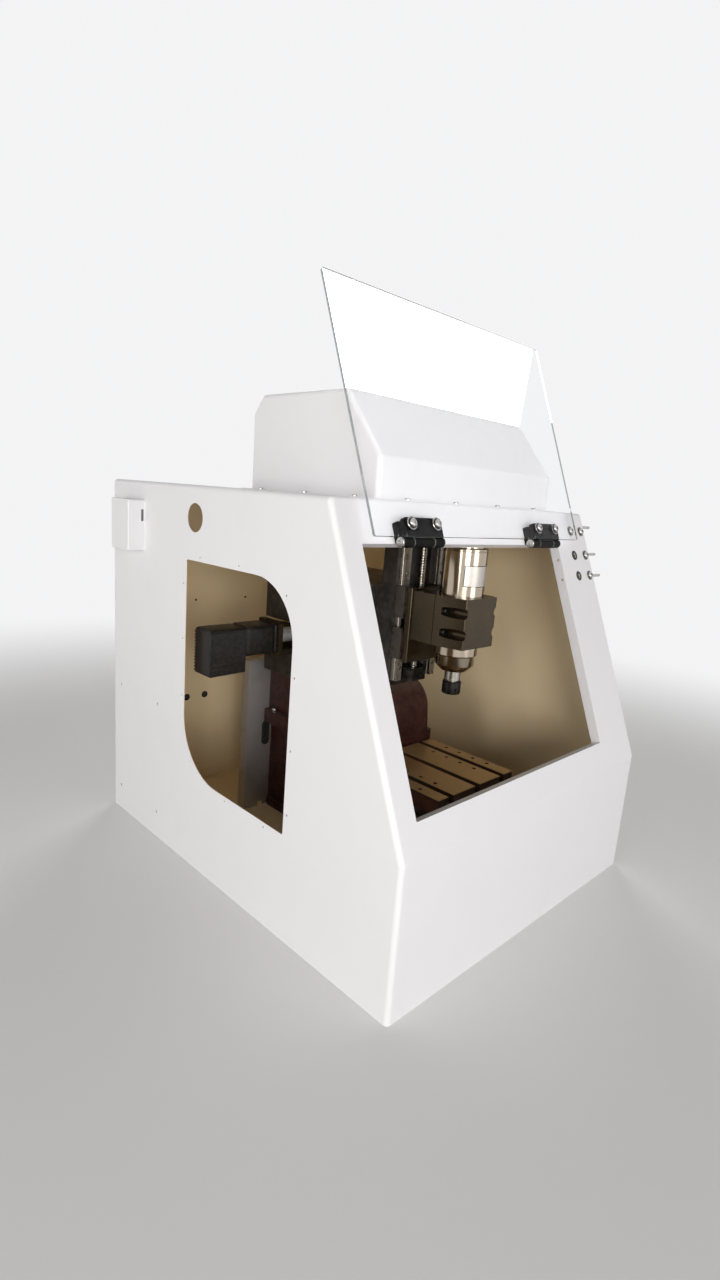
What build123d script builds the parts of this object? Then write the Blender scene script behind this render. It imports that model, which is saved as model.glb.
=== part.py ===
"""Desktop vertical machining center in a folded sheet enclosure.

Millimetres. X runs to the right seen from the front, Y to the back, Z up. The origin is the middle of the
enclosure's footprint on the bench. Places behind the front face are given as setbacks from it.
"""

import os

from build123d import *
from math import atan2, cos, hypot, sin, sqrt

os.makedirs("parts", exist_ok=True)

# Enclosure
width = 700
depth = 850
height = 710
front_rise = 242
slope_run = 188
sheet = 1.5
fold_r = 6
edge_r = 8
rim = 10
tray_upstand = 22

# Door opening in the slope: its clear sides, its lower edge's height, its upper edge below the top
opening_left = -306
opening_right = 228
opening_low = 288
opening_drop = 62
opening_r = 2
flange_depth = 18
flange_hole_r = 2.5
flange_hole_first = 28.5
flange_hole_step = 39
flange_hole_below = 6

# Window, cable hole and small holes of the left panel, set back from the front or under its top
window_front = 248.5
window_back = 556.5
window_low = 182
window_drop = 129
window_front_r = 98
window_back_r = 112
window_corner_r = 4
window_hole_r = 1.9
window_hole_gap = 8
window_front_rows = (0.108, 0.363, 0.642)
window_back_rows = (0.125, 0.37, 0.63)
cable_hole_r = 25
cable_hole_back = 531
cable_hole_drop = 55
mount_hole_r = 2.75
mount_hole_back = 656
mount_hole_z = 54
mount_pitch_y = 158
mount_pitch_z = 230

# Small box on the left panel
box_back = 713
box_drop = 35
box_length = 71
box_height = 97
box_reach = 34
box_wall = 2
box_slot = 5
box_slot_length = 22

# Rear panel holes
rear_hole_r = 7
rear_hole_z = 217
rear_hole_x = -149
rear_hole_pitch = 48
rear_small_r = 1.8
rear_small_z = 450
rear_small_x = -86
rear_small_pitch = 137

# Hood over the Z column, set back from the front
hood_half = 240
hood_front = 206
hood_kink = 63
hood_rise = 162
hood_top_front = 288
hood_top_back = 501
hood_back = 527
hood_back_kink = 132
hood_flange = 14
hood_hole_inset = 15

# Screws of the hood and of the slope's right margin, and the studs in the right panel
screw_r = 2
screw_head_r = 4
screw_head_t = 2.6
hood_screw_pitch = 120
margin_screw_r = 5
margin_head_r = 8
margin_head_t = 4
margin_x = 285
margin_step_x = 44
margin_drops = (38, 87.5, 129.5)
stud_r = 3
stud_reach = 43
stud_back = 12
stud_drops = (29, 87, 132.5)

# Door and hinges
pane = 4.5
pane_left = -299.5
pane_right = 269.5
pane_length = 391
pane_corner_r = 3
leaf = 8
leaf_gap = 0.5
fixed_leaf_length = 32
moving_leaf_length = 36
moving_leaf_inset = 9
hinge_width = 93
hinge_left = -191.5
hinge_right = 157.5
hinge_bolt_shift = 3
hinge_bolt_pitch = 57
hinge_bolt_rise = 26
knuckle_r = 8
knuckle_side = 23
knuckle_gap = 0.5
pin_r = 3
pin_cap_r = 6.5
pin_cap = 2
pane_above_axis = 5.8
axis_above_opening = -0.5
bolt_r = 3
bolt_head_r = 5.2
bolt_head_t = 4
washer_r = 9
washer_t = 1.5
bolt_depth = 7

# Fits
running = 0.05
clearance = 0.4

# Profile rails and their carriages, the same on all three axes
rail_w = 15
rail_h = 15
rail_groove_r = 1.8
rail_groove_v = 9
rail_hole_r = 3.8
rail_hole_depth = 5.3
rail_hole_pitch = 60
block_w = 34
block_h = 28
block_l = 59
block_lift = 4.3
block_cap = 8
block_cap_inset = 0.8

# Ball screws, nuts and bearings, the same on all three axes
screw_rise = 7
thread_r = 8
journal_r = 6
nut_r = 14
nut_l = 42
nut_flange_r = 24
nut_flange_t = 10
nut_flange_flat = 40
bearing_w = 60
bearing_t = 25
bearing_h = 43
bearing_shoulder = 27
bearing_neck_w = 36
bearing_ring_r = 13
bearing_ring_depth = 3
trough_depth = 18
trough_half = 32

# Motor brackets, couplings and motors, the same on all three axes
bracket_l = 50
x_bracket_l = 61
bracket_plate = 10
bracket_half = 33
bracket_near_top = 19
bracket_bore_r = 16.5
coupling_r = 15
coupling_l = 34
coupling_slot = 1.2
coupling_slot_depth = 5
shaft_gap = 1
motor_shaft_depth = 12
motor_w = 57
motor_l = 149
motor_corner_r = 4
motor_flange = 6
motor_waist = 1
motor_body_l = 80
drive_drop = 29
drive_chamfer = 12
fin_count = 9
fin_slot = 4
fin_depth = 5
motor_pilot_r = 15
motor_pilot = 1.5

# Spindle and its clamp; each rise is a height over the column's top
machine_x = 14
spindle_setback = 222
spindle_r = 40
spindle_rise = 75
spindle_l = 226
nose_r = 36
nose_chamfer = 12
nose_l = 30
shaft_r = 11
shaft_depth = 60
shaft_reach = 40
shaft_shoulder_r = 15
shaft_shoulder = 18
collet_nut_r = 17.5
collet_nut_l = 24
collet_nut_notches = 6
collet_nut_notch = 4
collet_bore_r = 3
collet_r = 10
collet_reach = 2
cap_r = 33
cap_t = 22
fitting_r = 5
fitting_reach = 18
fitting_pitch = 32
connector_r = 9
clamp_rise = 125
clamp_h = 90
clamp_half = 56
clamp_front_half = 45
clamp_front = 48
clamp_split = 14
clamp_slit = 1.5
clamp_reach = 65
clamp_edge_r = 3
clamp_screw_r = 4
clamp_screw_x = 48.5
clamp_screw_head_r = 6.5
clamp_screw_head_t = 8
clamp_pocket_r = 9.5
clamp_pocket_floor = 16
clamp_screw_z = 26
clamp_screw_depth = 14

# Z axis: head plate, rails and base; each rise is a height over the column's top
head_half = 60
head_plate = 12
head_rise = 79
head_h = 140
z_rail_across = 49
z_rise = 34
z_length = 297
z_base_half = 62
z_base_depth = 35
z_rail_inset = 3
z_block_rise = 112.5
z_block_pitch = 78
z_nut_rise = 163

# X axis: saddle, rails and beam
saddle_half = 135
saddle_depth = 263
saddle_h = 100
saddle_wall = 16
x_screw_setback = 168
x_rail_front = -105
x_rail_rear = 70
x_rail_inset = 4
x_block_pitch = 84
beam_half = 135
beam_lip_front = 25
beam_lip_rear = 22
beam_h = 87
beam_wall = 14
lug_w = 46
lug_l = 26
lug_drop = 39

# Column and base
column_half = 98
column_h = 116
column_gap = 5
column_back = 645
column_nose = 5
column_lean = 40
column_belly = 64
foot_half = 113
foot_t = 14
foot_bolt_inset = 7.5
foot_bolt_r = 4
foot_bolt_head_r = 5.5
foot_bolt_head_t = 8
foot_bolt_inset_y = 30
base_setback = 40
base_half = 90
base_foot_half = 97
base_foot_t = 18
bed_drop = 64
deck_drop = 489
base_wall = 16
core_half = 66
core_floor = 22
core_roof = 20

# Y axis and table
table_half = 113
table_shift = -6
table_setback = 135
table_length = 205
table_t = 30
y_rail_across = 60
y_rail_inset = 4
y_block_inset = 42
y_nut_shift = 0
slot_pitch = 78
slot_w = 14
slot_depth = 11
slot_t_w = 23
slot_t_h = 9
table_hole_r = 4.25
table_hole_depth = 16
table_hole_pitch = 34
table_hole_inner = 59
table_hole_outer = 101

# Metal plate behind the column, with its grommet
plate_t = 3
plate_half = 156
plate_rise = 127
plate_gate_half = 38
plate_gate_rise = 49
grommet_x = -106
grommet_rise = 20
grommet_w = 13
grommet_h = 50
grommet_lip = 3
grommet_t = 9
notch_w = 14
notch_h = 9
notch_x = -112

# Places that follow from the sizes above
front = -depth / 2
rear = depth / 2
left = -width / 2
right = width / 2
slope_back = front + slope_run
slope_length = hypot(slope_run, height - front_rise)
slope_angle = atan2(height - front_rise, slope_run)
slope = Plane(
    origin=(0, front, front_rise),
    x_dir=(1, 0, 0),
    z_dir=(0, -sin(slope_angle), cos(slope_angle)),
)
skin_half = width / 2 - rim
opening_start = (opening_low - front_rise) / sin(slope_angle)
opening_end = (height - opening_drop - front_rise) / sin(slope_angle)
opening_width = opening_right - opening_left
opening_mid = (opening_left + opening_right) / 2
hood_back_y = front + hood_back
hood_front_y = front + hood_front
window_high = height - window_drop
cable_hole_z = height - cable_hole_drop
box_low = height - box_drop - box_height

hinge_s = opening_end + axis_above_opening
pane_low = 2 * leaf + 2 * leaf_gap
hinge_rise = (pane_low + pane + leaf_gap) / 2

deck_z = height - deck_drop
bed_z = deck_z - bed_drop
column_top = deck_z + column_h
plate_top = deck_z + plate_rise
plate_gate_top = bed_z + plate_gate_rise
grommet_z = bed_z + grommet_rise
spindle_low = column_top + spindle_rise
clamp_low = column_top + clamp_rise
head_low = column_top + head_rise
z_low = column_top + z_rise
z_block_low = column_top + z_block_rise
z_nut_z = column_top + z_nut_rise

spindle_y = front + spindle_setback
clamp_y = spindle_y + clamp_split
head_face_y = spindle_y + clamp_reach
slider_y = head_face_y + head_plate
z_way_y = slider_y + block_h
z_back_y = z_way_y + z_base_depth
z_high = z_low + z_length
x_screw_y = z_back_y + x_screw_setback
beam_front_y = x_screw_y + x_rail_front - beam_lip_front
beam_rear_y = x_screw_y + x_rail_rear + beam_lip_rear
column_setback = table_setback + table_length + column_gap
column_front_y = front + column_setback
column_rear_y = front + column_back
foot_bolt_pitch_y = (column_back - column_setback) / 2 - foot_bolt_inset_y
x_way_z = column_top + beam_h
saddle_z = x_way_z + block_h
table_front_y = front + table_setback
table_x = machine_x + table_shift
base_front_y = front + base_setback

# Travel frames: the origin lies on the way face over the screw, z_dir is the travel, y_dir leaves the face
x_frame = Plane(origin=(machine_x, x_screw_y, x_way_z), x_dir=(0, 1, 0), z_dir=(1, 0, 0))
y_frame = Plane(origin=(machine_x, 0, bed_z), x_dir=(-1, 0, 0), z_dir=(0, 1, 0))
z_frame = Plane(origin=(machine_x, z_way_y, 0), x_dir=(-1, 0, 0), z_dir=(0, 0, 1))
table_frame = Plane(origin=(table_x, table_front_y, bed_z), x_dir=(-1, 0, 0), z_dir=(0, 1, 0))


def side_of(frame):
    """The plane through a travel frame in which x is the travel and y leaves the way face."""
    return Plane(origin=frame.origin, x_dir=frame.z_dir, z_dir=-frame.x_dir)


def face_of(frame, lift):
    """The plane over a way face; its x lies across the travel and its y runs against the travel."""
    return Plane(origin=frame.origin + frame.y_dir * lift, x_dir=frame.x_dir, z_dir=frame.y_dir)


def keep(part, name):
    """Label a finished piece and write it under its name."""
    part.label = name
    export_step(part, f"parts/{name}.step")


def group(pieces):
    """Separate solids that share one node."""
    return Compound(children=[solid for piece in pieces for solid in piece.solids()])


# Enclosure panels

side_outline = [
    (front, -edge_r * 3),
    (front, front_rise),
    (slope_back, height),
    (rear, height),
    (rear, -edge_r * 3),
]


def side_form(inset):
    """The side panel's outer form, or with an inset the hollow inside its skin."""
    with BuildPart() as form:
        with BuildSketch(Plane.YZ.offset(left + inset)) as outline:
            Polygon(*side_outline, align=None)
            fillet(outline.vertices().filter_by(lambda v: v.Y > 0), fold_r)
            if inset > 0:
                offset(amount=-inset)
        extrude(amount=rim)
        fillet(form.faces().sort_by(Axis.X)[0].edges(), edge_r - inset)
        split(bisect_by=Plane.XY, keep=Keep.TOP)
    return form.part


def side_blank():
    """A side panel before its holes: a flat face with its edge turned in as a narrow rim."""
    hollow = side_form(sheet)
    with BuildPart() as blank:
        add(side_form(0))
        add(hollow, mode=Mode.SUBTRACT)
    return blank.part


def window_outline():
    """The left window: two sharp corners and two large round ones, in setback and height."""
    corners = [
        (front + window_front, window_high, window_front_r),
        (front + window_back, window_low, window_back_r),
        (front + window_front, window_low, window_corner_r),
        (front + window_back, window_high, window_corner_r),
    ]
    with BuildSketch(Plane.YZ.offset(left)) as window:
        with Locations((front + (window_front + window_back) / 2, (window_low + window_high) / 2)):
            Rectangle(window_back - window_front, window_high - window_low)
        for y, z, radius in corners:
            fillet(window.vertices().sort_by_distance((y, z))[0], radius)
    return window.sketch


def window_holes():
    """Places of the small screw holes that follow the window's edge at a small distance."""
    y0 = front + window_front - window_hole_gap
    y1 = front + window_back + window_hole_gap
    z0 = window_low - window_hole_gap
    z1 = window_high + window_hole_gap
    tall = z1 - z0
    front_turn = window_front_r * (1 - sqrt(0.5))
    back_turn = window_back_r * (1 - sqrt(0.5))
    span = window_back - window_front
    places = [
        (y1 - span * 0.17, z1),
        (y0 + span * 0.5, z1),
        (y0 + front_turn, z1 - front_turn),
        (y0 + span * 0.19, z0),
        (y0 + span * 0.56, z0),
        (y1 - back_turn, z0 + back_turn),
    ]
    places += [(y0, z0 + share * tall) for share in window_front_rows]
    places += [(y1, z1 - share * tall) for share in window_back_rows]
    return places


def left_panel():
    with BuildPart() as panel:
        add(side_blank())
        extrude(window_outline(), amount=rim, both=True, mode=Mode.SUBTRACT)
        with BuildSketch(Plane.YZ.offset(left)):
            with Locations((front + cable_hole_back, cable_hole_z)):
                Circle(cable_hole_r)
            with Locations(*window_holes()):
                Circle(window_hole_r)
            first = (front + mount_hole_back + mount_pitch_y / 2, mount_hole_z + mount_pitch_z / 2)
            with Locations(first):
                with GridLocations(mount_pitch_y, mount_pitch_z, 2, 2):
                    Circle(mount_hole_r)
        extrude(amount=rim / 2, mode=Mode.SUBTRACT)
    return panel.part


def stud_places():
    """Setback and height of the three studs, beside the rows of screws in the slope's margin."""
    places = []
    for drop in stud_drops:
        along = slope_length - drop
        places.append((front + along * cos(slope_angle) + stud_back, front_rise + along * sin(slope_angle)))
    return places


def right_panel():
    with BuildPart() as panel:
        mirror(side_blank(), about=Plane.YZ)
        with BuildSketch(Plane.YZ.offset(right)):
            with Locations(*stud_places()):
                Circle(stud_r + running)
        extrude(amount=-rim / 2, mode=Mode.SUBTRACT)
    return panel.part


def folded(points):
    """A strip of sheet that follows the points on its outer side, in setback and height."""
    with BuildSketch(Plane.YZ) as strip:
        with BuildLine():
            outer = FilletPolyline(*points, radius=fold_r)
            offset(outer, amount=sheet, side=Side.RIGHT)
        make_face()
    return strip.sketch


def margin_places():
    """The slope margin's two columns of three places: across, and up the slope."""
    rows = [slope_length - drop for drop in margin_drops]
    inner = [(margin_x, row) for row in rows]
    outer = [(margin_x + margin_step_x, row) for row in rows]
    return inner, outer


def front_cover():
    """Lower front and slope, folded from one sheet, with the opening's turned-in flange."""
    inner, outer = margin_places()
    tail = slope_back + fold_r
    opening_place = (opening_mid, (opening_start + opening_end) / 2)
    opening_length = opening_end - opening_start
    with BuildPart() as cover:
        profile = folded([(front, 0), (front, front_rise), (slope_back, height), (tail, height)])
        extrude(profile, amount=skin_half, both=True)
        with BuildSketch(slope):
            with Locations(opening_place):
                RectangleRounded(opening_width, opening_length, opening_r)
        extrude(amount=flange_depth, both=True, mode=Mode.SUBTRACT)
        with BuildSketch(slope):
            with Locations(opening_place):
                RectangleRounded(opening_width + 2 * sheet, opening_length + 2 * sheet, opening_r + sheet)
                RectangleRounded(opening_width, opening_length, opening_r, mode=Mode.SUBTRACT)
        extrude(amount=-flange_depth)
        with BuildSketch(slope):
            with Locations(*inner, *outer):
                Circle(margin_screw_r + running)
            for hinge_x in (hinge_left, hinge_right):
                with Locations(*fixed_screw_places(hinge_x)):
                    Circle(screw_r + running)
        extrude(amount=-rim / 2, mode=Mode.SUBTRACT)
        flange = Plane(origin=slope.origin, x_dir=slope.y_dir, z_dir=slope.x_dir)
        with BuildSketch(flange.offset(opening_right)):
            first = opening_end - flange_hole_first
            with Locations(*[(first - step * flange_hole_step, -flange_hole_below) for step in (0, 1)]):
                Circle(flange_hole_r)
        extrude(amount=2 * sheet, both=True, mode=Mode.SUBTRACT)
    return cover.part


def hood_screw_places():
    """Places of the hood's screws on its foot flange."""
    front_y = hood_front_y - hood_flange / 2
    back_y = hood_back_y + hood_flange / 2
    side_x = hood_half + hood_flange / 2
    rows = [(step * hood_screw_pitch, y) for step in (-1.5, -0.5, 0.5, 1.5) for y in (front_y, back_y)]
    mid_y = (hood_front_y + hood_back_y) / 2
    sides = [(x, mid_y + step * hood_screw_pitch) for step in (-1, 0, 1) for x in (-side_x, side_x)]
    return rows + sides


def top_panel():
    """Top sheet with its back edge turned down, open under the hood."""
    start = slope_back + fold_r
    with BuildPart() as panel:
        profile = folded([(start, height), (rear, height), (rear, height - tray_upstand)])
        extrude(profile, amount=skin_half, both=True)
        with BuildSketch(Plane.XY.offset(height)):
            with Locations((0, (hood_front_y + hood_back_y) / 2)):
                Rectangle(2 * (hood_half - hood_hole_inset), hood_back - hood_front - 4 * sheet)
            with Locations(*hood_screw_places()):
                Circle(screw_r + running)
        extrude(amount=-2 * sheet, mode=Mode.SUBTRACT)
    return panel.part


def rear_panel():
    with BuildPart() as panel:
        with BuildSketch(Plane.XZ.offset(-rear)):
            with Locations((0, (height - tray_upstand) / 2)):
                Rectangle(2 * skin_half, height - tray_upstand)
            holes = [(rear_hole_x + side * rear_hole_pitch / 2, rear_hole_z) for side in (-1, 1)]
            with Locations(*holes):
                Circle(rear_hole_r, mode=Mode.SUBTRACT)
            small = [(rear_small_x + side * rear_small_pitch / 2, rear_small_z) for side in (-1, 1)]
            with Locations(*small):
                Circle(rear_small_r, mode=Mode.SUBTRACT)
        extrude(amount=sheet)
    return panel.part


def floor_tray():
    """Floor sheet with upstands inside the panels."""
    inner_x = width / 2 - sheet
    inner_y = depth / 2 - sheet
    with BuildPart() as tray:
        with BuildSketch():
            Rectangle(2 * inner_x, 2 * inner_y)
        extrude(amount=tray_upstand)
        with BuildSketch(Plane.XY.offset(sheet)):
            Rectangle(2 * (inner_x - sheet), 2 * (inner_y - sheet))
        extrude(amount=tray_upstand, mode=Mode.SUBTRACT)
        corner = edge_r + sheet
        with BuildSketch():
            with GridLocations(2 * inner_x, 2 * inner_y, 2, 2):
                Rectangle(2 * corner, 2 * corner)
        extrude(amount=tray_upstand, mode=Mode.SUBTRACT)
    return tray.part


def hood_form(inset):
    """The hood's outer form, or with an inset the hollow inside its skin."""
    points = [
        (hood_front_y, height),
        (hood_front_y, height + hood_kink),
        (front + hood_top_front, height + hood_rise),
        (front + hood_top_back, height + hood_rise),
        (hood_back_y, height + hood_back_kink),
        (hood_back_y, height),
    ]
    with BuildPart() as form:
        with BuildSketch(Plane.YZ) as outline:
            Polygon(*points, align=None)
            fillet(outline.vertices().filter_by(lambda v: v.Y > height), fold_r)
            if inset > 0:
                offset(amount=-inset)
                with Locations(((hood_front_y + hood_back_y) / 2, height)):
                    Rectangle(hood_back - hood_front - 2 * inset, 4 * inset)
        extrude(amount=hood_half - inset, both=True)
        ends = form.faces().filter_by(Axis.X)
        rounded = ends.edges().filter_by(lambda e: e.center().Z > height + 2 * inset)
        fillet(rounded, edge_r - inset)
    return form.part


def hood():
    hollow = hood_form(sheet)
    with BuildPart() as cover:
        add(hood_form(0))
        with BuildSketch(Plane.XY.offset(height)) as flange:
            with Locations((0, (hood_front_y + hood_back_y) / 2)):
                Rectangle(2 * (hood_half + hood_flange), hood_back - hood_front + 2 * hood_flange)
            fillet(flange.vertices(), edge_r)
        extrude(amount=sheet)
        add(hollow, mode=Mode.SUBTRACT)
        with BuildSketch(Plane.XY.offset(height)):
            with Locations(*hood_screw_places()):
                Circle(screw_r + running)
        extrude(amount=2 * sheet, mode=Mode.SUBTRACT)
    return cover.part


def pan_screw(plane, shank_r, head_r, head_t, shank_l):
    """A round-headed screw whose head sits on the plane."""
    with BuildPart() as screw:
        with BuildSketch(plane):
            Circle(head_r)
        extrude(amount=head_t)
        fillet(screw.faces().sort_by(lambda f: -plane.to_local_coords(f.center()).Z)[0].edges(), head_t * 0.4)
        with BuildSketch(plane):
            Circle(shank_r)
        extrude(amount=-shank_l)
        with BuildSketch(plane.offset(head_t)):
            RegularPolygon(shank_r * 0.7, 6)
        extrude(amount=-head_t * 0.5, mode=Mode.SUBTRACT)
    return screw.part


def hood_screws():
    top = Plane.XY.offset(height + sheet)
    places = [Plane(origin=(x, y, top.origin.Z)) for x, y in hood_screw_places()]
    return group([pan_screw(place, screw_r, screw_head_r, screw_head_t, 4 * sheet) for place in places])


def margin_screws():
    """Screws at all places of the margin but the two lower ones of the inner column."""
    inner, outer = margin_places()
    screws = []
    for x, along in [inner[0], *outer]:
        origin = slope.from_local_coords((x, along, 0))
        place = Plane(origin=origin, x_dir=slope.x_dir, z_dir=slope.z_dir)
        screws.append(pan_screw(place, margin_screw_r, margin_head_r, margin_head_t, 3 * sheet))
    return group(screws)


def side_studs():
    studs = []
    for y, z in stud_places():
        face = Plane(origin=(right, y, z), x_dir=(0, 1, 0), z_dir=(1, 0, 0))
        with BuildPart() as stud:
            with BuildSketch(face):
                RegularPolygon(2 * stud_r, 6)
            extrude(amount=stud_r)
            with BuildSketch(face.offset(-2 * sheet)):
                Circle(stud_r)
            extrude(amount=stud_reach + 2 * sheet)
        studs.append(stud.part)
    return group(studs)


def side_box():
    """Small closed box on the left panel, with a slot in its front beside the panel."""
    middle_y = front + box_back + box_length / 2
    middle_z = box_low + box_height / 2
    with BuildPart() as box:
        with BuildSketch(Plane.YZ.offset(left)):
            with Locations((middle_y, middle_z)):
                RectangleRounded(box_length, box_height, 2 * box_wall)
        extrude(amount=-box_reach)
        fillet(box.faces().sort_by(Axis.X)[0].edges(), box_wall)
        with BuildSketch(Plane.YZ.offset(left)):
            with Locations((middle_y, middle_z)):
                RectangleRounded(box_length - 2 * box_wall, box_height - 2 * box_wall, box_wall)
        extrude(amount=-(box_reach - box_wall), mode=Mode.SUBTRACT)
        with BuildSketch(Plane.XZ.offset(-(front + box_back))):
            with Locations((left - box_slot, middle_z + box_height / 5)):
                Rectangle(box_slot, box_slot_length)
        extrude(amount=2 * box_wall, both=True, mode=Mode.SUBTRACT)
    return box.part


# Door and hinges

hinge_line = Plane(
    origin=slope.from_local_coords((0, hinge_s, hinge_rise)),
    x_dir=slope.y_dir,
    z_dir=slope.x_dir,
)


def fixed_screw_places(hinge_x):
    """Screws that hold a fixed leaf to the slope, across and up the slope."""
    return [(hinge_x + side * hinge_width / 4, hinge_s + hinge_bolt_rise) for side in (-1, 1)]


def bolt_places(hinge_x):
    """Bolts that hold the pane to a moving leaf, across and up the slope."""
    middle = hinge_x + hinge_bolt_shift
    return [(middle + side * hinge_bolt_pitch / 2, hinge_s + hinge_bolt_rise) for side in (-1, 1)]


def disc_at(x, radius):
    """A disc round the hinge line at a place across the slope."""
    with BuildSketch(hinge_line.offset(x)) as disc:
        Circle(radius)
    return disc.sketch


def leaf_outline(start, end, length, rise):
    """A leaf's outline between two places across the slope, at a height over it."""
    with BuildSketch(slope.offset(rise)) as outline:
        with Locations(((start + end) / 2, hinge_s + length / 2)):
            Rectangle(end - start, length)
        fillet(outline.vertices().sort_by(Axis.Y)[2:], leaf / 2)
    return outline.sketch


def fixed_leaf(hinge_x):
    """The leaf on the slope, with a knuckle at each end of the pin."""
    start = hinge_x - hinge_width / 2
    end = hinge_x + hinge_width / 2
    with BuildPart() as piece:
        extrude(leaf_outline(start, end, fixed_leaf_length, 0), amount=leaf)
        extrude(disc_at(start, knuckle_r), amount=knuckle_side)
        extrude(disc_at(end, knuckle_r), amount=-knuckle_side)
        room = disc_at(start + knuckle_side, knuckle_r + knuckle_gap)
        extrude(room, amount=hinge_width - 2 * knuckle_side, mode=Mode.SUBTRACT)
        extrude(disc_at(start, pin_r), amount=hinge_width, mode=Mode.SUBTRACT)
        with BuildSketch(slope):
            with Locations(*fixed_screw_places(hinge_x)):
                Circle(screw_r)
        extrude(amount=leaf / 2, mode=Mode.SUBTRACT)
    return piece.part


def moving_leaf(hinge_x):
    """The leaf under the pane, with the middle knuckle."""
    start = hinge_x - hinge_width / 2
    end = hinge_x + hinge_width / 2
    low = leaf + leaf_gap
    with BuildPart() as piece:
        beside = knuckle_side + knuckle_gap
        outline = leaf_outline(start + moving_leaf_inset, end, moving_leaf_length, low)
        extrude(outline, amount=leaf + leaf_gap)
        extrude(disc_at(start + beside, knuckle_r), amount=hinge_width - 2 * beside)
        extrude(disc_at(start, knuckle_r + knuckle_gap), amount=beside, mode=Mode.SUBTRACT)
        extrude(disc_at(end, knuckle_r + knuckle_gap), amount=-beside, mode=Mode.SUBTRACT)
        extrude(disc_at(start, pin_r + 2 * running), amount=hinge_width, mode=Mode.SUBTRACT)
        with BuildSketch(slope.offset(pane_low)):
            with Locations(*bolt_places(hinge_x)):
                Circle(bolt_r)
        extrude(amount=-bolt_depth, mode=Mode.SUBTRACT)
    return piece.part


def hinge_pin(hinge_x):
    """A pin with a cap at each end."""
    start = hinge_x - hinge_width / 2
    with BuildPart() as pin:
        extrude(disc_at(start, pin_r), amount=hinge_width)
        extrude(disc_at(start, pin_cap_r), amount=-pin_cap)
        extrude(disc_at(start + hinge_width, pin_cap_r), amount=pin_cap)
    return pin.part


def door_pane():
    with BuildPart() as door:
        with BuildSketch(slope.offset(pane_low)) as outline:
            with Locations(((pane_left + pane_right) / 2, hinge_s + pane_above_axis + pane_length / 2)):
                Rectangle(pane_right - pane_left, pane_length)
            fillet(outline.vertices(), pane_corner_r)
            for hinge_x in (hinge_left, hinge_right):
                with Locations(*bolt_places(hinge_x)):
                    Circle(bolt_r + running, mode=Mode.SUBTRACT)
        extrude(amount=pane)
    return door.part


def door_bolts():
    """Four bolts with their washers over the pane."""
    pieces = []
    for hinge_x in (hinge_left, hinge_right):
        for x, along in bolt_places(hinge_x):
            origin = slope.from_local_coords((x, along, pane_low + pane))
            seat = Plane(origin=origin, x_dir=slope.x_dir, z_dir=slope.z_dir)
            with BuildPart() as washer:
                with BuildSketch(seat):
                    Circle(washer_r)
                    Circle(bolt_r + running, mode=Mode.SUBTRACT)
                extrude(amount=washer_t)
            pieces.append(washer.part)
            on_washer = seat.offset(washer_t)
            shank = washer_t + pane + bolt_depth - 1
            pieces.append(pan_screw(on_washer, bolt_r, bolt_head_r, bolt_head_t, shank))
    return group(pieces)


# Parts that all three axes share

def guide_rail(frame, across, start, end):
    """A profile rail from start to end along the travel, with its row of screw holes."""
    length = end - start
    count = int((length - 2 * rail_w) // rail_hole_pitch) + 1
    with BuildPart() as rail:
        with BuildSketch(frame.offset(start)):
            with Locations((across, rail_h / 2)):
                Rectangle(rail_w, rail_h)
            with Locations((across - rail_w / 2, rail_groove_v), (across + rail_w / 2, rail_groove_v)):
                Circle(rail_groove_r, mode=Mode.SUBTRACT)
        extrude(amount=length)
        with BuildSketch(face_of(frame, rail_h)):
            with Locations((across, -(start + end) / 2)):
                with GridLocations(rail_w, rail_hole_pitch, 1, count):
                    Circle(rail_hole_r)
        extrude(amount=-rail_hole_depth, mode=Mode.SUBTRACT)
    return rail.part


def carriage(frame, across, middle):
    """A carriage on its rail: a steel block between two end caps."""
    lift = (block_lift + block_h) / 2
    with BuildPart() as block:
        with BuildSketch(frame.offset(middle - block_l / 2 + block_cap)):
            with Locations((across, lift)):
                Rectangle(block_w, block_h - block_lift)
        extrude(amount=block_l - 2 * block_cap)
        with BuildSketch(frame.offset(middle - block_l / 2)):
            with Locations((across, lift - block_cap_inset)):
                Rectangle(block_w - 2 * block_cap_inset, block_h - block_lift - 2 * block_cap_inset)
        extrude(amount=block_l)
        with BuildSketch(frame.offset(middle - block_l / 2)):
            with Locations((across, rail_h / 2)):
                Rectangle(rail_w + 2 * clearance, rail_h + 2 * clearance)
        extrude(amount=block_l, mode=Mode.SUBTRACT)
    return block.part


def ball_screw(frame, start, thread_start, thread_end, end):
    """A screw with a plain journal at each end; the thread is a plain cylinder of its outer size."""
    with BuildPart() as screw:
        with BuildSketch(frame.offset(start)):
            with Locations((0, screw_rise)):
                Circle(journal_r)
        extrude(amount=end - start)
        with BuildSketch(frame.offset(thread_start)):
            with Locations((0, screw_rise)):
                Circle(thread_r)
        extrude(amount=thread_end - thread_start)
    return screw.part


def ball_nut(frame, start, toward):
    """A nut whose flange starts at start and whose barrel runs on toward +1 or -1."""
    with BuildPart() as nut:
        with BuildSketch(frame.offset(start)):
            with Locations((0, screw_rise)):
                Circle(nut_flange_r)
                Rectangle(2 * nut_flange_r, nut_flange_flat, mode=Mode.INTERSECT)
        extrude(amount=toward * nut_flange_t)
        with BuildSketch(frame.offset(start)):
            with Locations((0, screw_rise)):
                Circle(nut_r)
        extrude(amount=toward * nut_l)
        with BuildSketch(frame.offset(start)):
            with Locations((0, screw_rise)):
                Circle(thread_r + running)
        extrude(amount=toward * nut_l, mode=Mode.SUBTRACT)
    return nut.part


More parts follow.
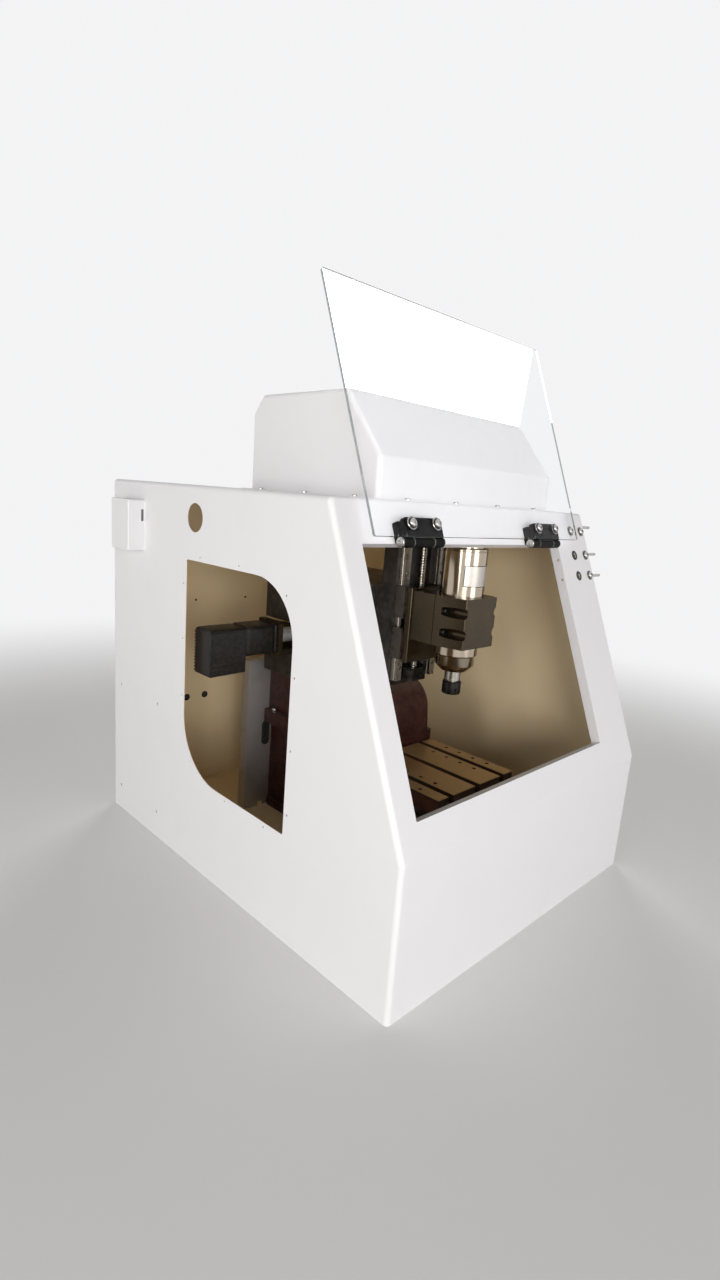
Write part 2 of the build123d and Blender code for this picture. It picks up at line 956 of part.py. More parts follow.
def bearing_block(frame, start):
    """A screw's bearing housing that stands in the trough between the ways."""
    low = -trough_depth
    half = bearing_w / 2
    neck = bearing_neck_w / 2
    outline = [
        (-half, low),
        (half, low),
        (half, low + bearing_shoulder),
        (neck, low + bearing_h),
        (-neck, low + bearing_h),
        (-half, low + bearing_shoulder),
    ]
    with BuildPart() as block:
        with BuildSketch(frame.offset(start)):
            Polygon(*outline, align=None)
            with Locations((0, screw_rise)):
                Circle(journal_r + running, mode=Mode.SUBTRACT)
        extrude(amount=bearing_t)
        for face, toward in ((start, 1), (start + bearing_t, -1)):
            with BuildSketch(frame.offset(face)):
                with Locations((0, screw_rise)):
                    Circle(bearing_ring_r)
            extrude(amount=toward * bearing_ring_depth, mode=Mode.SUBTRACT)
    return block.part


def motor_bracket(frame, start, toward, length):
    """A U-shaped bracket off the end of an axis, toward +1 or -1: its near plate is the lower one."""
    low = screw_rise - bracket_half
    near_top = screw_rise + bracket_near_top
    outline = [
        (start, low),
        (start + toward * length, low),
        (start + toward * length, screw_rise + bracket_half),
        (start + toward * (length - bracket_plate), screw_rise + bracket_half),
        (start + toward * (length - bracket_plate), low + bracket_plate),
        (start + toward * bracket_plate, low + bracket_plate),
        (start + toward * bracket_plate, near_top),
        (start, near_top),
    ]
    with BuildPart() as bracket:
        with BuildSketch(side_of(frame)):
            Polygon(*outline, align=None)
        extrude(amount=bracket_half, both=True)
        with BuildSketch(frame.offset(start)):
            with Locations((0, screw_rise)):
                Circle(bracket_bore_r)
        extrude(amount=toward * length, mode=Mode.SUBTRACT)
        along = bracket.edges().filter_by(Axis(frame.origin, frame.z_dir))
        corners = along.filter_by(lambda e: abs(frame.to_local_coords(e.center()).X) > bracket_half - 1)
        fillet(corners.filter_by(lambda e: frame.to_local_coords(e.center()).Y > screw_rise), motor_corner_r)
    return bracket.part


def coupling(frame, start, toward, motor_face):
    """A clamp coupling from the screw's end to the motor's shaft, with two slits that let it flex."""
    mid = start + toward * coupling_l / 2
    with BuildPart() as piece:
        with BuildSketch(frame.offset(start)):
            with Locations((0, screw_rise)):
                Circle(coupling_r)
                Circle(journal_r + running, mode=Mode.SUBTRACT)
        extrude(amount=toward * coupling_l)
        for share, side in ((0.4, 1), (0.6, -1)):
            with BuildSketch(frame.offset(start + toward * share * coupling_l)):
                with Locations((0, screw_rise + side * coupling_slot_depth)):
                    Rectangle(2 * coupling_r, 2 * coupling_r)
            extrude(amount=coupling_slot / 2, both=True, mode=Mode.SUBTRACT)
    with BuildPart() as shaft:
        with BuildSketch(frame.offset(mid + toward * shaft_gap)):
            with Locations((0, screw_rise)):
                Circle(journal_r)
        extrude(amount=motor_face - mid + toward * (motor_shaft_depth - motor_pilot - 2 * shaft_gap))
    return group([piece.part, shaft.part])


def motor(frame, face, toward):
    """A square servo motor whose drive box, with cooling fins, closes its far end."""
    half = motor_w / 2
    body_half = half - motor_waist
    box_start = face + toward * motor_body_l
    box_end = face + toward * motor_l
    low = screw_rise - half - drive_drop
    with BuildPart() as unit:
        with BuildSketch(frame.offset(face)):
            with Locations((0, screw_rise)):
                RectangleRounded(motor_w, motor_w, motor_corner_r)
        extrude(amount=toward * motor_flange)
        with BuildSketch(frame.offset(face)):
            with Locations((0, screw_rise)):
                RectangleRounded(2 * body_half, 2 * body_half, motor_corner_r)
        extrude(amount=toward * (motor_body_l + motor_waist))
        with BuildSketch(frame.offset(face)):
            with Locations((0, screw_rise)):
                Circle(motor_pilot_r)
        extrude(amount=-toward * motor_pilot)
        box = [
            (box_start, screw_rise + half),
            (box_end, screw_rise + half),
            (box_end, low + drive_chamfer),
            (box_end - toward * drive_chamfer, low),
            (box_start, low),
        ]
        with BuildSketch(side_of(frame)):
            Polygon(*box, align=None)
        extrude(amount=half, both=True)
        pitch = (2 * half + drive_drop - drive_chamfer) / fin_count
        slots = [
            (box_end, screw_rise + half - pitch * (step + 0.5)) for step in range(fin_count)
        ]
        with BuildSketch(side_of(frame)):
            with Locations(*slots):
                Rectangle(2 * fin_depth, fin_slot)
        extrude(amount=half, both=True, mode=Mode.SUBTRACT)
        with BuildSketch(frame.offset(face - toward * motor_pilot)):
            with Locations((0, screw_rise)):
                Circle(journal_r + running)
        extrude(amount=toward * motor_shaft_depth, mode=Mode.SUBTRACT)
    return unit.part


def screw_end(start, toward):
    """Where a screw ends inside its coupling, past the end of an axis at start."""
    return start + toward * (bracket_plate + coupling_l / 2 - shaft_gap)


# Spindle and clamp

spindle_foot = Plane(origin=(machine_x, spindle_y, spindle_low))
clamp_foot = Plane(origin=(machine_x, spindle_y, clamp_low))


def spindle_body():
    """Round spindle housing with a stepped nose and a bore for the shaft."""
    with BuildPart() as body:
        with BuildSketch(Plane.XZ):
            with BuildLine():
                Polyline(
                    (shaft_r + running, 0),
                    (nose_r - nose_chamfer, 0),
                    (nose_r, nose_chamfer),
                    (nose_r, nose_l),
                    (spindle_r, nose_l + 2),
                    (spindle_r, spindle_l - 2),
                    (spindle_r - 2, spindle_l),
                    (0, spindle_l),
                    (0, shaft_depth),
                    (shaft_r + running, shaft_depth),
                    close=True,
                )
            make_face()
        revolve(axis=Axis.Z)
    return body.part.moved(Location(spindle_foot))


def spindle_cap():
    """Rear cap with two water fittings and the cable connector."""
    with BuildPart() as cap:
        top = spindle_foot.offset(spindle_l)
        with BuildSketch(top):
            Circle(cap_r)
        extrude(amount=cap_t)
        fillet(cap.faces().sort_by(Axis.Z)[-1].edges(), 2)
        with BuildSketch(top.offset(cap_t)):
            with Locations((-fitting_pitch / 2, -fitting_r), (fitting_pitch / 2, -fitting_r)):
                Circle(fitting_r)
        extrude(amount=fitting_reach)
        with BuildSketch(top.offset(cap_t)):
            with Locations((0, fitting_pitch / 2)):
                Circle(connector_r)
        extrude(amount=fitting_reach)
    return cap.part


def spindle_shaft():
    """Shaft with its shoulder and the taper that the collet nut closes."""
    with BuildPart() as shaft:
        with BuildSketch(Plane.XZ):
            with BuildLine():
                Polyline(
                    (0, -shaft_reach),
                    (shaft_r, -shaft_reach),
                    (shaft_r, -shaft_shoulder - clearance),
                    (shaft_shoulder_r, -shaft_shoulder - clearance),
                    (shaft_shoulder_r, -clearance),
                    (shaft_r, -clearance),
                    (shaft_r, shaft_depth - clearance),
                    (0, shaft_depth - clearance),
                    close=True,
                )
            make_face()
        revolve(axis=Axis.Z)
        with BuildSketch(Plane.XY.offset(-shaft_reach)):
            Circle(collet_r)
        extrude(amount=collet_nut_l / 2, taper=8, mode=Mode.SUBTRACT)
    return shaft.part.moved(Location(spindle_foot))


def collet():
    """Spring collet that stands in the shaft's taper."""
    with BuildPart() as piece:
        with BuildSketch(Plane.XY.offset(-shaft_reach)):
            Circle(collet_r - running)
        extrude(amount=collet_nut_l / 2 - 1, taper=8)
        with BuildSketch(Plane.XY.offset(-shaft_reach)):
            Circle(collet_r - running)
        extrude(amount=-collet_reach)
        with BuildSketch(Plane.XY.offset(-shaft_reach - collet_reach)):
            Circle(collet_bore_r)
        extrude(amount=collet_nut_l / 2, mode=Mode.SUBTRACT)
        with BuildSketch(Plane.XY.offset(-shaft_reach - collet_reach)):
            with PolarLocations(collet_r * 0.7, 6):
                Rectangle(collet_r * 0.6, 0.8)
        extrude(amount=2 * collet_reach, mode=Mode.SUBTRACT)
    return piece.part.moved(Location(spindle_foot))


def collet_nut():
    """Round nut with wrench notches round its lower rim."""
    low = -shaft_reach - collet_reach - 3
    with BuildPart() as nut:
        with BuildSketch(Plane.XY.offset(low)):
            Circle(collet_nut_r)
        extrude(amount=collet_nut_l)
        chamfer(nut.edges().filter_by(GeomType.CIRCLE), 1.5)
        with BuildSketch(Plane.XY.offset(low + 3 + collet_reach)):
            Circle(shaft_r + running)
        extrude(amount=collet_nut_l, mode=Mode.SUBTRACT)
        with BuildSketch(Plane.XY.offset(low)):
            Circle(collet_r + running)
        extrude(amount=3 + collet_reach, mode=Mode.SUBTRACT)
        with BuildSketch(Plane.XY.offset(low)):
            with PolarLocations(collet_nut_r, collet_nut_notches):
                Rectangle(collet_nut_notch, collet_nut_notch)
        extrude(amount=collet_nut_l * 0.55, mode=Mode.SUBTRACT)
    return nut.part.moved(Location(spindle_foot))


def clamp_screw_places():
    """Places of the clamp screws: across, and above the clamp's foot."""
    return [(side * clamp_screw_x, clamp_screw_z + step * (clamp_h - 2 * clamp_screw_z))
            for side in (-1, 1) for step in (0, 1)]


def clamp_discs(y, radius):
    """Discs round the clamp screws' axes in an upright plane; they face the front."""
    plane = Plane(origin=(machine_x, y, clamp_low), x_dir=(1, 0, 0), z_dir=(0, -1, 0))
    with BuildSketch(plane) as discs:
        with Locations(*clamp_screw_places()):
            Circle(radius)
    return discs.sketch


def spindle_mount():
    """Rear half of the spindle clamp, bolted to the head plate."""
    half_slit = clamp_slit / 2
    with BuildPart() as mount:
        with BuildSketch(clamp_foot):
            with Locations((0, (clamp_split + half_slit + clamp_reach) / 2)):
                Rectangle(2 * clamp_half, clamp_reach - clamp_split - half_slit)
            Circle(spindle_r + running, mode=Mode.SUBTRACT)
        extrude(amount=clamp_h)
        holes = clamp_discs(clamp_y, clamp_screw_r)
        extrude(holes, amount=-clamp_screw_depth, mode=Mode.SUBTRACT)
    return mount.part


def clamp_cap():
    """Front half of the clamp: tapered sides with deep pockets for the screw heads."""
    back = clamp_split - clamp_slit / 2
    outline = [
        (-clamp_half, back),
        (-clamp_half, 0),
        (-clamp_front_half, -clamp_front),
        (clamp_front_half, -clamp_front),
        (clamp_half, 0),
        (clamp_half, back),
    ]
    seat = clamp_y - clamp_pocket_floor
    with BuildPart() as cap:
        with BuildSketch(clamp_foot) as section:
            Polygon(*outline, align=None)
            corners = section.vertices().sort_by(Axis.Y)[:2]
            fillet(corners, clamp_edge_r)
            Circle(spindle_r + running, mode=Mode.SUBTRACT)
        extrude(amount=clamp_h)
        extrude(clamp_discs(seat, clamp_pocket_r), amount=2 * clamp_front, mode=Mode.SUBTRACT)
        shank_holes = clamp_discs(seat, clamp_screw_r + running)
        extrude(shank_holes, amount=-2 * clamp_pocket_floor, mode=Mode.SUBTRACT)
    return cap.part


def clamp_screws():
    """Socket screws in the clamp's pockets."""
    seat = clamp_y - clamp_pocket_floor
    shank = clamp_pocket_floor + clamp_screw_depth - 2
    screws = []
    for x, rise in clamp_screw_places():
        place = Plane(
            origin=(machine_x + x, seat, clamp_low + rise), x_dir=(1, 0, 0), z_dir=(0, -1, 0)
        )
        screws.append(pan_screw(place, clamp_screw_r, clamp_screw_head_r, clamp_screw_head_t, shank))
    return group(screws)


# Z axis

def head_plate_part():
    """Plate between the Z carriages and the spindle mount."""
    with BuildPart() as plate:
        with BuildSketch(Plane.XY.offset(head_low)) as outline:
            with Locations((machine_x, head_face_y + head_plate / 2)):
                Rectangle(2 * head_half, head_plate)
        extrude(amount=head_h)
        chamfer(plate.faces().sort_by(Axis.Y)[0].edges(), 1)
    return plate.part


def slider_lug(frame, middle, face):
    """A lug that holds a nut's barrel below the face that the carriages carry."""
    with BuildPart() as lug:
        with BuildSketch(frame.offset(middle - lug_l / 2)):
            with Locations((0, face - lug_drop / 2)):
                Rectangle(lug_w, lug_drop)
            with Locations((0, screw_rise)):
                Circle(nut_r + running, mode=Mode.SUBTRACT)
        extrude(amount=lug_l)
    return lug.part


def z_base():
    """Channel that carries the Z rails on its two ways, with the screw's trough between them."""
    with BuildPart() as base:
        with BuildSketch(z_frame.offset(z_low)):
            with Locations((0, -z_base_depth / 2)):
                Rectangle(2 * z_base_half, z_base_depth)
            with Locations((0, -trough_depth / 2)):
                Rectangle(2 * trough_half, trough_depth, mode=Mode.SUBTRACT)
        extrude(amount=z_length)
        chamfer(base.faces().sort_by(Axis.Z)[0].edges().sort_by(Axis.Y)[-1], 3)
    return base.part


# X axis

def saddle():
    """Box casting over the X carriages: open at the back, with the nut's lug under it."""
    front_y = z_back_y
    mid_y = front_y + saddle_depth / 2
    with BuildPart() as casting:
        with BuildSketch(Plane.XY.offset(saddle_z)):
            with Locations((machine_x, mid_y)):
                Rectangle(2 * saddle_half, saddle_depth)
        extrude(amount=saddle_h)
        fillet(casting.edges().filter_by(Axis.Z).sort_by(Axis.Y)[2:], 4)
        pocket_w = saddle_half - 1.5 * saddle_wall
        with BuildSketch(Plane.XZ.offset(-(front_y + saddle_depth))):
            with Locations((machine_x, saddle_z + saddle_h / 2)):
                with GridLocations(pocket_w + saddle_wall, saddle_h, 2, 1):
                    RectangleRounded(pocket_w, saddle_h - 2 * saddle_wall, saddle_wall / 2)
        extrude(amount=saddle_depth - 1.5 * saddle_wall, mode=Mode.SUBTRACT)
        add(slider_lug(x_frame, 0, block_h))
    return casting.part


def x_beam():
    """Beam over the column with two ways and the screw's trough."""
    low = -beam_h
    with BuildPart() as beam:
        with BuildSketch(x_frame.offset(-beam_half)):
            mid = (x_rail_rear + beam_lip_rear + x_rail_front - beam_lip_front) / 2
            with Locations((mid, low / 2)):
                Rectangle(beam_rear_y - beam_front_y, beam_h)
            with Locations((0, -trough_depth / 2)):
                Rectangle(2 * trough_half, trough_depth, mode=Mode.SUBTRACT)
        extrude(amount=2 * beam_half)
        with BuildSketch(Plane.XY.offset(column_top)):
            with Locations((machine_x, x_screw_y + mid)):
                with GridLocations(beam_half, 0, 2, 1):
                    RectangleRounded(beam_half - 2 * beam_wall, 2 * column_belly, beam_wall)
        extrude(amount=beam_h - trough_depth - beam_wall, mode=Mode.SUBTRACT)
        fillet(beam.edges().filter_by(Axis.X).sort_by(Axis.Z)[:2], 3)
    return beam.part


# Column and base

def column():
    """Column casting: a foot flange, and a body whose front curves back under the beam."""
    foot_top = deck_z + foot_t
    with BuildPart() as casting:
        with BuildSketch(Plane.XY.offset(deck_z)) as foot:
            with Locations((machine_x, (column_front_y + column_rear_y) / 2)):
                Rectangle(2 * foot_half, column_back - column_setback)
            fillet(foot.vertices(), foot_bolt_head_r)
        extrude(amount=foot_t)
        with BuildSketch(Plane.YZ.offset(machine_x)):
            with BuildLine():
                low = (column_front_y, deck_z)
                knee = (column_front_y, foot_top)
                belly = (column_front_y + column_nose, deck_z + column_belly)
                top = (column_front_y + column_lean, column_top)
                Polyline(low, knee, belly)
                TangentArc(belly, top, tangent=(column_nose, column_belly - foot_t))
                Polyline(top, (column_rear_y, column_top), (column_rear_y, deck_z), low)
            make_face()
        extrude(amount=column_half, both=True)
        with BuildSketch(Plane.XZ.offset(-column_rear_y)):
            with Locations((machine_x, (foot_top + column_top) / 2)):
                RectangleRounded(2 * core_half, column_h - foot_t - 2 * core_roof, core_roof / 2)
        extrude(amount=column_back - column_setback - 3 * core_roof, mode=Mode.SUBTRACT)
        with BuildSketch(Plane.XY.offset(foot_top)):
            with Locations(*foot_bolt_places()):
                Circle(foot_bolt_r + running)
        extrude(amount=-2 * foot_t, mode=Mode.SUBTRACT)
    return casting.part


def foot_bolt_places():
    """Places of the bolts through the column's foot flange."""
    x = foot_half - foot_bolt_inset
    first = column_front_y + foot_bolt_inset_y
    return [(machine_x + side * x, first + step * foot_bolt_pitch_y) for side in (-1, 1) for step in range(3)]


def foot_bolts():
    foot_top = deck_z + foot_t
    places = [Plane(origin=(x, y, foot_top)) for x, y in foot_bolt_places()]
    return group(
        [pan_screw(place, foot_bolt_r, foot_bolt_head_r, foot_bolt_head_t, 1.7 * foot_t) for place in places]
    )


def base():
    """Base casting: a low bed under the table, a raised deck under the column, and a trough through both."""
    low = sheet
    length = column_rear_y - base_front_y
    mid_y = (base_front_y + column_rear_y) / 2
    deck_length = column_rear_y - column_front_y
    deck_mid = (column_front_y + column_rear_y) / 2
    with BuildPart() as casting:
        with BuildSketch(Plane.XY.offset(low)) as foot:
            with Locations((machine_x, mid_y)):
                Rectangle(2 * base_foot_half, length)
            fillet(foot.vertices(), base_foot_t / 2)
        extrude(amount=base_foot_t)
        with BuildSketch(Plane.XY.offset(low)):
            with Locations((machine_x, mid_y)):
                Rectangle(2 * base_half, length)
        extrude(amount=bed_z - low)
        with BuildSketch(Plane.XY.offset(bed_z)):
            with Locations((machine_x, deck_mid)):
                Rectangle(2 * base_half, deck_length)
        extrude(amount=deck_z - bed_z)
        with BuildSketch(Plane.XY.offset(deck_z)) as top:
            with Locations((machine_x, deck_mid)):
                Rectangle(2 * foot_half, deck_length)
            fillet(top.vertices(), foot_bolt_head_r)
        extrude(amount=-foot_t)
        with BuildSketch(y_frame.offset(base_front_y)):
            with Locations((0, (block_h + 2 - trough_depth) / 2)):
                Rectangle(2 * trough_half, block_h + 2 + trough_depth)
        extrude(amount=length, mode=Mode.SUBTRACT)
        core_h = bed_z - trough_depth - core_floor - low
        with BuildSketch(Plane.XY.offset(low)):
            with Locations((machine_x, mid_y)):
                with GridLocations(0, length / 3, 1, 3):
                    RectangleRounded(2 * (base_half - base_wall), length / 3 - base_wall, base_wall / 2)
        extrude(amount=core_h, mode=Mode.SUBTRACT)
        with BuildSketch(Plane.XY.offset(deck_z)):
            with Locations(*foot_bolt_places()):
                Circle(foot_bolt_r)
        extrude(amount=-foot_t, mode=Mode.SUBTRACT)
    return casting.part


# Table

def table():
    """T-slot table: three slots along the travel, with four columns of tapped holes between them."""
    low = block_h
    high = block_h + table_t
    with BuildPart() as plate:
        with BuildSketch(table_frame):
            with Locations((0, (low + high) / 2)):
                Rectangle(2 * table_half, table_t)
            for step in (-1, 0, 1):
                with Locations((step * slot_pitch, high - slot_depth / 2)):
                    Rectangle(slot_w, slot_depth, mode=Mode.SUBTRACT)
                with Locations((step * slot_pitch, high - slot_depth - slot_t_h / 2)):
                    Rectangle(slot_t_w, slot_t_h, mode=Mode.SUBTRACT)
        extrude(amount=table_length)
        rows = int(table_length // (1.4 * table_hole_pitch))
        with BuildSketch(Plane.XY.offset(bed_z + high)):
            with Locations((table_x, table_front_y + table_length / 2)):
                for column in (table_hole_inner, table_hole_outer):
                    with GridLocations(2 * column, table_hole_pitch, 2, rows):
                        Circle(table_hole_r)
        extrude(amount=-table_hole_depth, mode=Mode.SUBTRACT)
    return plate.part


# Plate behind the column

def back_plate():
    low = sheet
    with BuildPart() as plate:
        with BuildSketch(Plane.XZ.offset(-column_rear_y)):
            with Locations((machine_x, (low + plate_top) / 2)):
                Rectangle(2 * plate_half, plate_top - low)
            with Locations((machine_x, (low + plate_gate_top) / 2)):
                Rectangle(2 * plate_gate_half, plate_gate_top - low, mode=Mode.SUBTRACT)
            with Locations((machine_x + grommet_x, grommet_z)):
                SlotOverall(grommet_h, grommet_w, rotation=90, mode=Mode.SUBTRACT)
            with Locations((machine_x + notch_x, low + notch_h / 2)):
                Rectangle(notch_w, notch_h, mode=Mode.SUBTRACT)
        extrude(amount=-plate_t)
    return plate.part


def grommet():
    """Rubber ring in the plate's slot, with a lip on both faces."""
    centre = (machine_x + grommet_x, grommet_z)
    front_face = Plane.XZ.offset(-column_rear_y)
    lip = (grommet_t - plate_t) / 2
    with BuildPart() as ring:
        with BuildSketch(front_face):
            with Locations(centre):
                SlotOverall(grommet_h, grommet_w, rotation=90)
        extrude(amount=-plate_t)
        for face, toward in ((front_face, 1), (front_face.offset(-plate_t), -1)):
            with BuildSketch(face):
                with Locations(centre):
                    SlotOverall(grommet_h + 2 * grommet_lip, grommet_w + 2 * grommet_lip, rotation=90)
            extrude(amount=toward * lip)
        with BuildSketch(front_face.offset(lip)):
            with Locations(centre):
                SlotOverall(grommet_h - 2 * grommet_lip, grommet_w - 2 * grommet_lip, rotation=90)
        extrude(amount=-grommet_t, mode=Mode.SUBTRACT)
    return ring.part


# Enclosure pieces
keep(left_panel(), "left_panel")
keep(right_panel(), "right_panel")
keep(front_cover(), "front_cover")
keep(top_panel(), "top_panel")
keep(rear_panel(), "rear_panel")
keep(floor_tray(), "floor_tray")
keep(hood(), "hood")
keep(hood_screws(), "hood_screws")
keep(margin_screws(), "margin_screws")
keep(side_studs(), "side_studs")
keep(side_box(), "side_box")

# Door pieces
keep(door_pane(), "door_pane")
keep(group([fixed_leaf(hinge_left), fixed_leaf(hinge_right)]), "hinge_fixed_leaves")
keep(group([moving_leaf(hinge_left), moving_leaf(hinge_right)]), "hinge_moving_leaves")
keep(group([hinge_pin(hinge_left), hinge_pin(hinge_right)]), "hinge_pins")
keep(door_bolts(), "door_bolts")

# Castings
keep(base(), "base_casting")
keep(column(), "column_casting")
keep(foot_bolts(), "column_bolts")
keep(x_beam(), "x_beam")
keep(saddle(), "saddle")
keep(back_plate(), "back_plate")
keep(grommet(), "cable_grommet")

# X axis: places are along the travel from the machine's middle
x_rail_half = beam_half - x_rail_inset
x_rails = [guide_rail(x_frame, across, -x_rail_half, x_rail_half) for across in (x_rail_front, x_rail_rear)]
keep(group(x_rails), "x_rails")
x_blocks = [carriage(x_frame, across, side * x_block_pitch / 2)
            for across in (x_rail_front, x_rail_rear) for side in (-1, 1)]
keep(group(x_blocks), "x_carriages")
x_left = -beam_half
keep(
    ball_screw(
        x_frame,
        screw_end(x_left, -1),
        x_left + bearing_t,
        beam_half - bearing_t,
        beam_half - 1,
    ),
    "x_ball_screw",
)
keep(ball_nut(x_frame, lug_l / 2 + nut_flange_t, -1), "x_nut")
keep(group([bearing_block(x_frame, x_left), bearing_block(x_frame, beam_half - bearing_t)]), "x_bearings")
x_motor_face = x_left - x_bracket_l
keep(motor_bracket(x_frame, x_left, -1, x_bracket_l), "x_motor_bracket")
keep(coupling(x_frame, x_left - bracket_plate, -1, x_motor_face), "x_coupling")
keep(motor(x_frame, x_motor_face, -1), "x_motor")

# Y axis: places are along Y
y_rails = [
    guide_rail(y_frame, side * y_rail_across, base_front_y + y_rail_inset, column_front_y - y_rail_inset)
    for side in (-1, 1)
]
keep(group(y_rails), "y_rails")
table_mid = table_front_y + table_length / 2
y_blocks = [carriage(y_frame, side * y_rail_across, table_mid + end * (table_length / 2 - y_block_inset))
            for side in (-1, 1) for end in (-1, 1)]
keep(group(y_blocks), "y_carriages")
keep(
    ball_screw(
        y_frame,
        base_front_y + 1,
        base_front_y + bearing_t,
        column_rear_y - bearing_t,
        screw_end(column_rear_y, 1),
    ),
    "y_ball_screw",
)
y_nut_mid = table_mid + y_nut_shift
keep(slider_lug(y_frame, y_nut_mid, block_h), "y_nut_bracket")
keep(ball_nut(y_frame, y_nut_mid - lug_l / 2 - nut_flange_t, 1), "y_nut")
y_bearings = [bearing_block(y_frame, base_front_y), bearing_block(y_frame, column_rear_y - bearing_t)]
keep(group(y_bearings), "y_bearings")
y_motor_face = column_rear_y + bracket_l
keep(motor_bracket(y_frame, column_rear_y, 1, bracket_l), "y_motor_bracket")
keep(coupling(y_frame, column_rear_y + bracket_plate, 1, y_motor_face), "y_coupling")
keep(motor(y_frame, y_motor_face, 1), "y_motor")
keep(table(), "table")

# Z axis: places are along Z
keep(z_base(), "z_base")
z_rails = [
    guide_rail(z_frame, side * z_rail_across, z_low + z_rail_inset, z_high - z_rail_inset)
    for side in (-1, 1)
]
keep(group(z_rails), "z_rails")
z_blocks = [carriage(z_frame, side * z_rail_across, z_block_low + step * z_block_pitch)
            for side in (-1, 1) for step in (0, 1)]
keep(group(z_blocks), "z_carriages")
keep(
    ball_screw(z_frame, z_low + 1, z_low + bearing_t, z_high - bearing_t, screw_end(z_high, 1)),
    "z_ball_screw",
)
keep(slider_lug(z_frame, z_nut_z, block_h), "z_nut_bracket")
keep(ball_nut(z_frame, z_nut_z - lug_l / 2 - nut_flange_t, 1), "z_nut")
keep(group([bearing_block(z_frame, z_low), bearing_block(z_frame, z_high - bearing_t)]), "z_bearings")
z_motor_face = z_high + bracket_l
keep(motor_bracket(z_frame, z_high, 1, bracket_l), "z_motor_bracket")
keep(coupling(z_frame, z_high + bracket_plate, 1, z_motor_face), "z_coupling")
keep(motor(z_frame, z_motor_face, 1), "z_motor")
keep(head_plate_part(), "head_plate")

# Spindle
keep(spindle_mount(), "spindle_mount")
keep(clamp_cap(), "spindle_clamp")
keep(clamp_screws(), "clamp_screws")
keep(spindle_body(), "spindle_body")
keep(spindle_cap(), "spindle_cap")
keep(spindle_shaft(), "spindle_shaft")
keep(collet(), "collet")
keep(collet_nut(), "collet_nut")
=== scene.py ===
"""Looks of a bench-top vertical machining center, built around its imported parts. Lengths are in metres."""

import math

import bmesh
import bpy
from mathutils import Matrix, Vector

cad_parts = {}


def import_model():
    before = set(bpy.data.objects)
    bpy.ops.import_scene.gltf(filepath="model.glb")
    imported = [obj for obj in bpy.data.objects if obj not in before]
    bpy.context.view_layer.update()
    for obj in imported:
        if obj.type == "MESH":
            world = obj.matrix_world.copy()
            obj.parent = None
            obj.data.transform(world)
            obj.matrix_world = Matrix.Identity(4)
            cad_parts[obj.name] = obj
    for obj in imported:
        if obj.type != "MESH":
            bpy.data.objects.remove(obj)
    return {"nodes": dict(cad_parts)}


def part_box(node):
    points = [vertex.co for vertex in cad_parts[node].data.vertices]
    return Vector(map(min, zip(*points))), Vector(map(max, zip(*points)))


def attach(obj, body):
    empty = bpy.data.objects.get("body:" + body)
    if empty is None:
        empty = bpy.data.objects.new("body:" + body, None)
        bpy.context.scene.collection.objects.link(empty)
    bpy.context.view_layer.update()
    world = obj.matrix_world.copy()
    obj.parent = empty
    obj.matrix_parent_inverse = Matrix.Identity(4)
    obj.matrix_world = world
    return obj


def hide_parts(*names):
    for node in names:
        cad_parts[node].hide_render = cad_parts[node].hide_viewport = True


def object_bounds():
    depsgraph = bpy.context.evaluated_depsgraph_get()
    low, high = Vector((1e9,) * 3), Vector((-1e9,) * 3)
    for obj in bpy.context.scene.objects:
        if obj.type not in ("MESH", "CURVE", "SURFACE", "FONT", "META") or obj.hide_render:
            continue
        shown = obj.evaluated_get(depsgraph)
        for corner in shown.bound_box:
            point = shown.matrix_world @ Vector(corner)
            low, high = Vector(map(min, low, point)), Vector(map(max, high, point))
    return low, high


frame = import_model()
cad_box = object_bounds()

# Camera
camera_place = Vector((-0.9611, -0.9240, 0.7118))
camera_ahead = Vector((0.69310, 0.68952, -0.21020))
camera_up = Vector((0.09475, 0.20193, 0.97481))
camera_lens = 18.724
camera_sensor = 36.0

# Studio
centre = (cad_box[0] + cad_box[1]) / 2
floor_radius = 14.0
backdrop_tone = (0.90, 0.90, 0.91)
floor_tone = (0.80, 0.795, 0.79)
floor_fade_near = 1.0
floor_fade_far = 2.6
sky_tone = (1.0, 0.985, 0.965)
sky_strength = 0.26

# Lamps: name, place, side of the soft box, watts and tint
lamps = [
    ("front_left_box", (-2.05, -2.80, 0.85), 1.2, 46.0, (1.0, 0.985, 0.965)),
    ("front_box", (0.35, -3.3, 0.60), 1.2, 20.0, (1.0, 1.0, 1.0)),
    ("left_box", (-3.1, -0.6, 0.75), 1.4, 30.0, (1.0, 0.98, 0.95)),
    ("rear_right_box", (2.4, 2.2, 1.7), 1.6, 40.0, (1.0, 1.0, 1.0)),
]

# Sheet: its tone outside, a cream tone on the panels' inner faces that is painted warm light on the same
# white paint, and where a face counts as looking into the enclosure
sheet_tone = (0.80, 0.79, 0.81)
warm_light_tone = (0.98, 0.79, 0.50)
inside_height = 0.35
inside_reach = 0.3492

# Slope and hinges: the knuckles' band of bare metal, partly wear and partly a painted highlight, the pins'
# length between caps, how far a cap stands out
slope_foot = Vector((0, -0.425, 0.242))
slope_up = Vector((0, 0.372758, 0.927929))
door_normal = (0.0, -0.927929, 0.372758)
hinge_axis = (0.0, -0.27230, 0.65164)
knuckle_near = 0.0120
knuckle_far = 0.0150
pin_body = "frame"
pin_length = 0.093
pin_cap_thick = 0.002

# Table: the middle and half of its width, where its enamelled sides are, and its top face
table_middle = (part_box("table")[0].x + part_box("table")[1].x) / 2
table_half = (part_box("table")[1].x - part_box("table")[0].x) / 2
table_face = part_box("table")[1].z

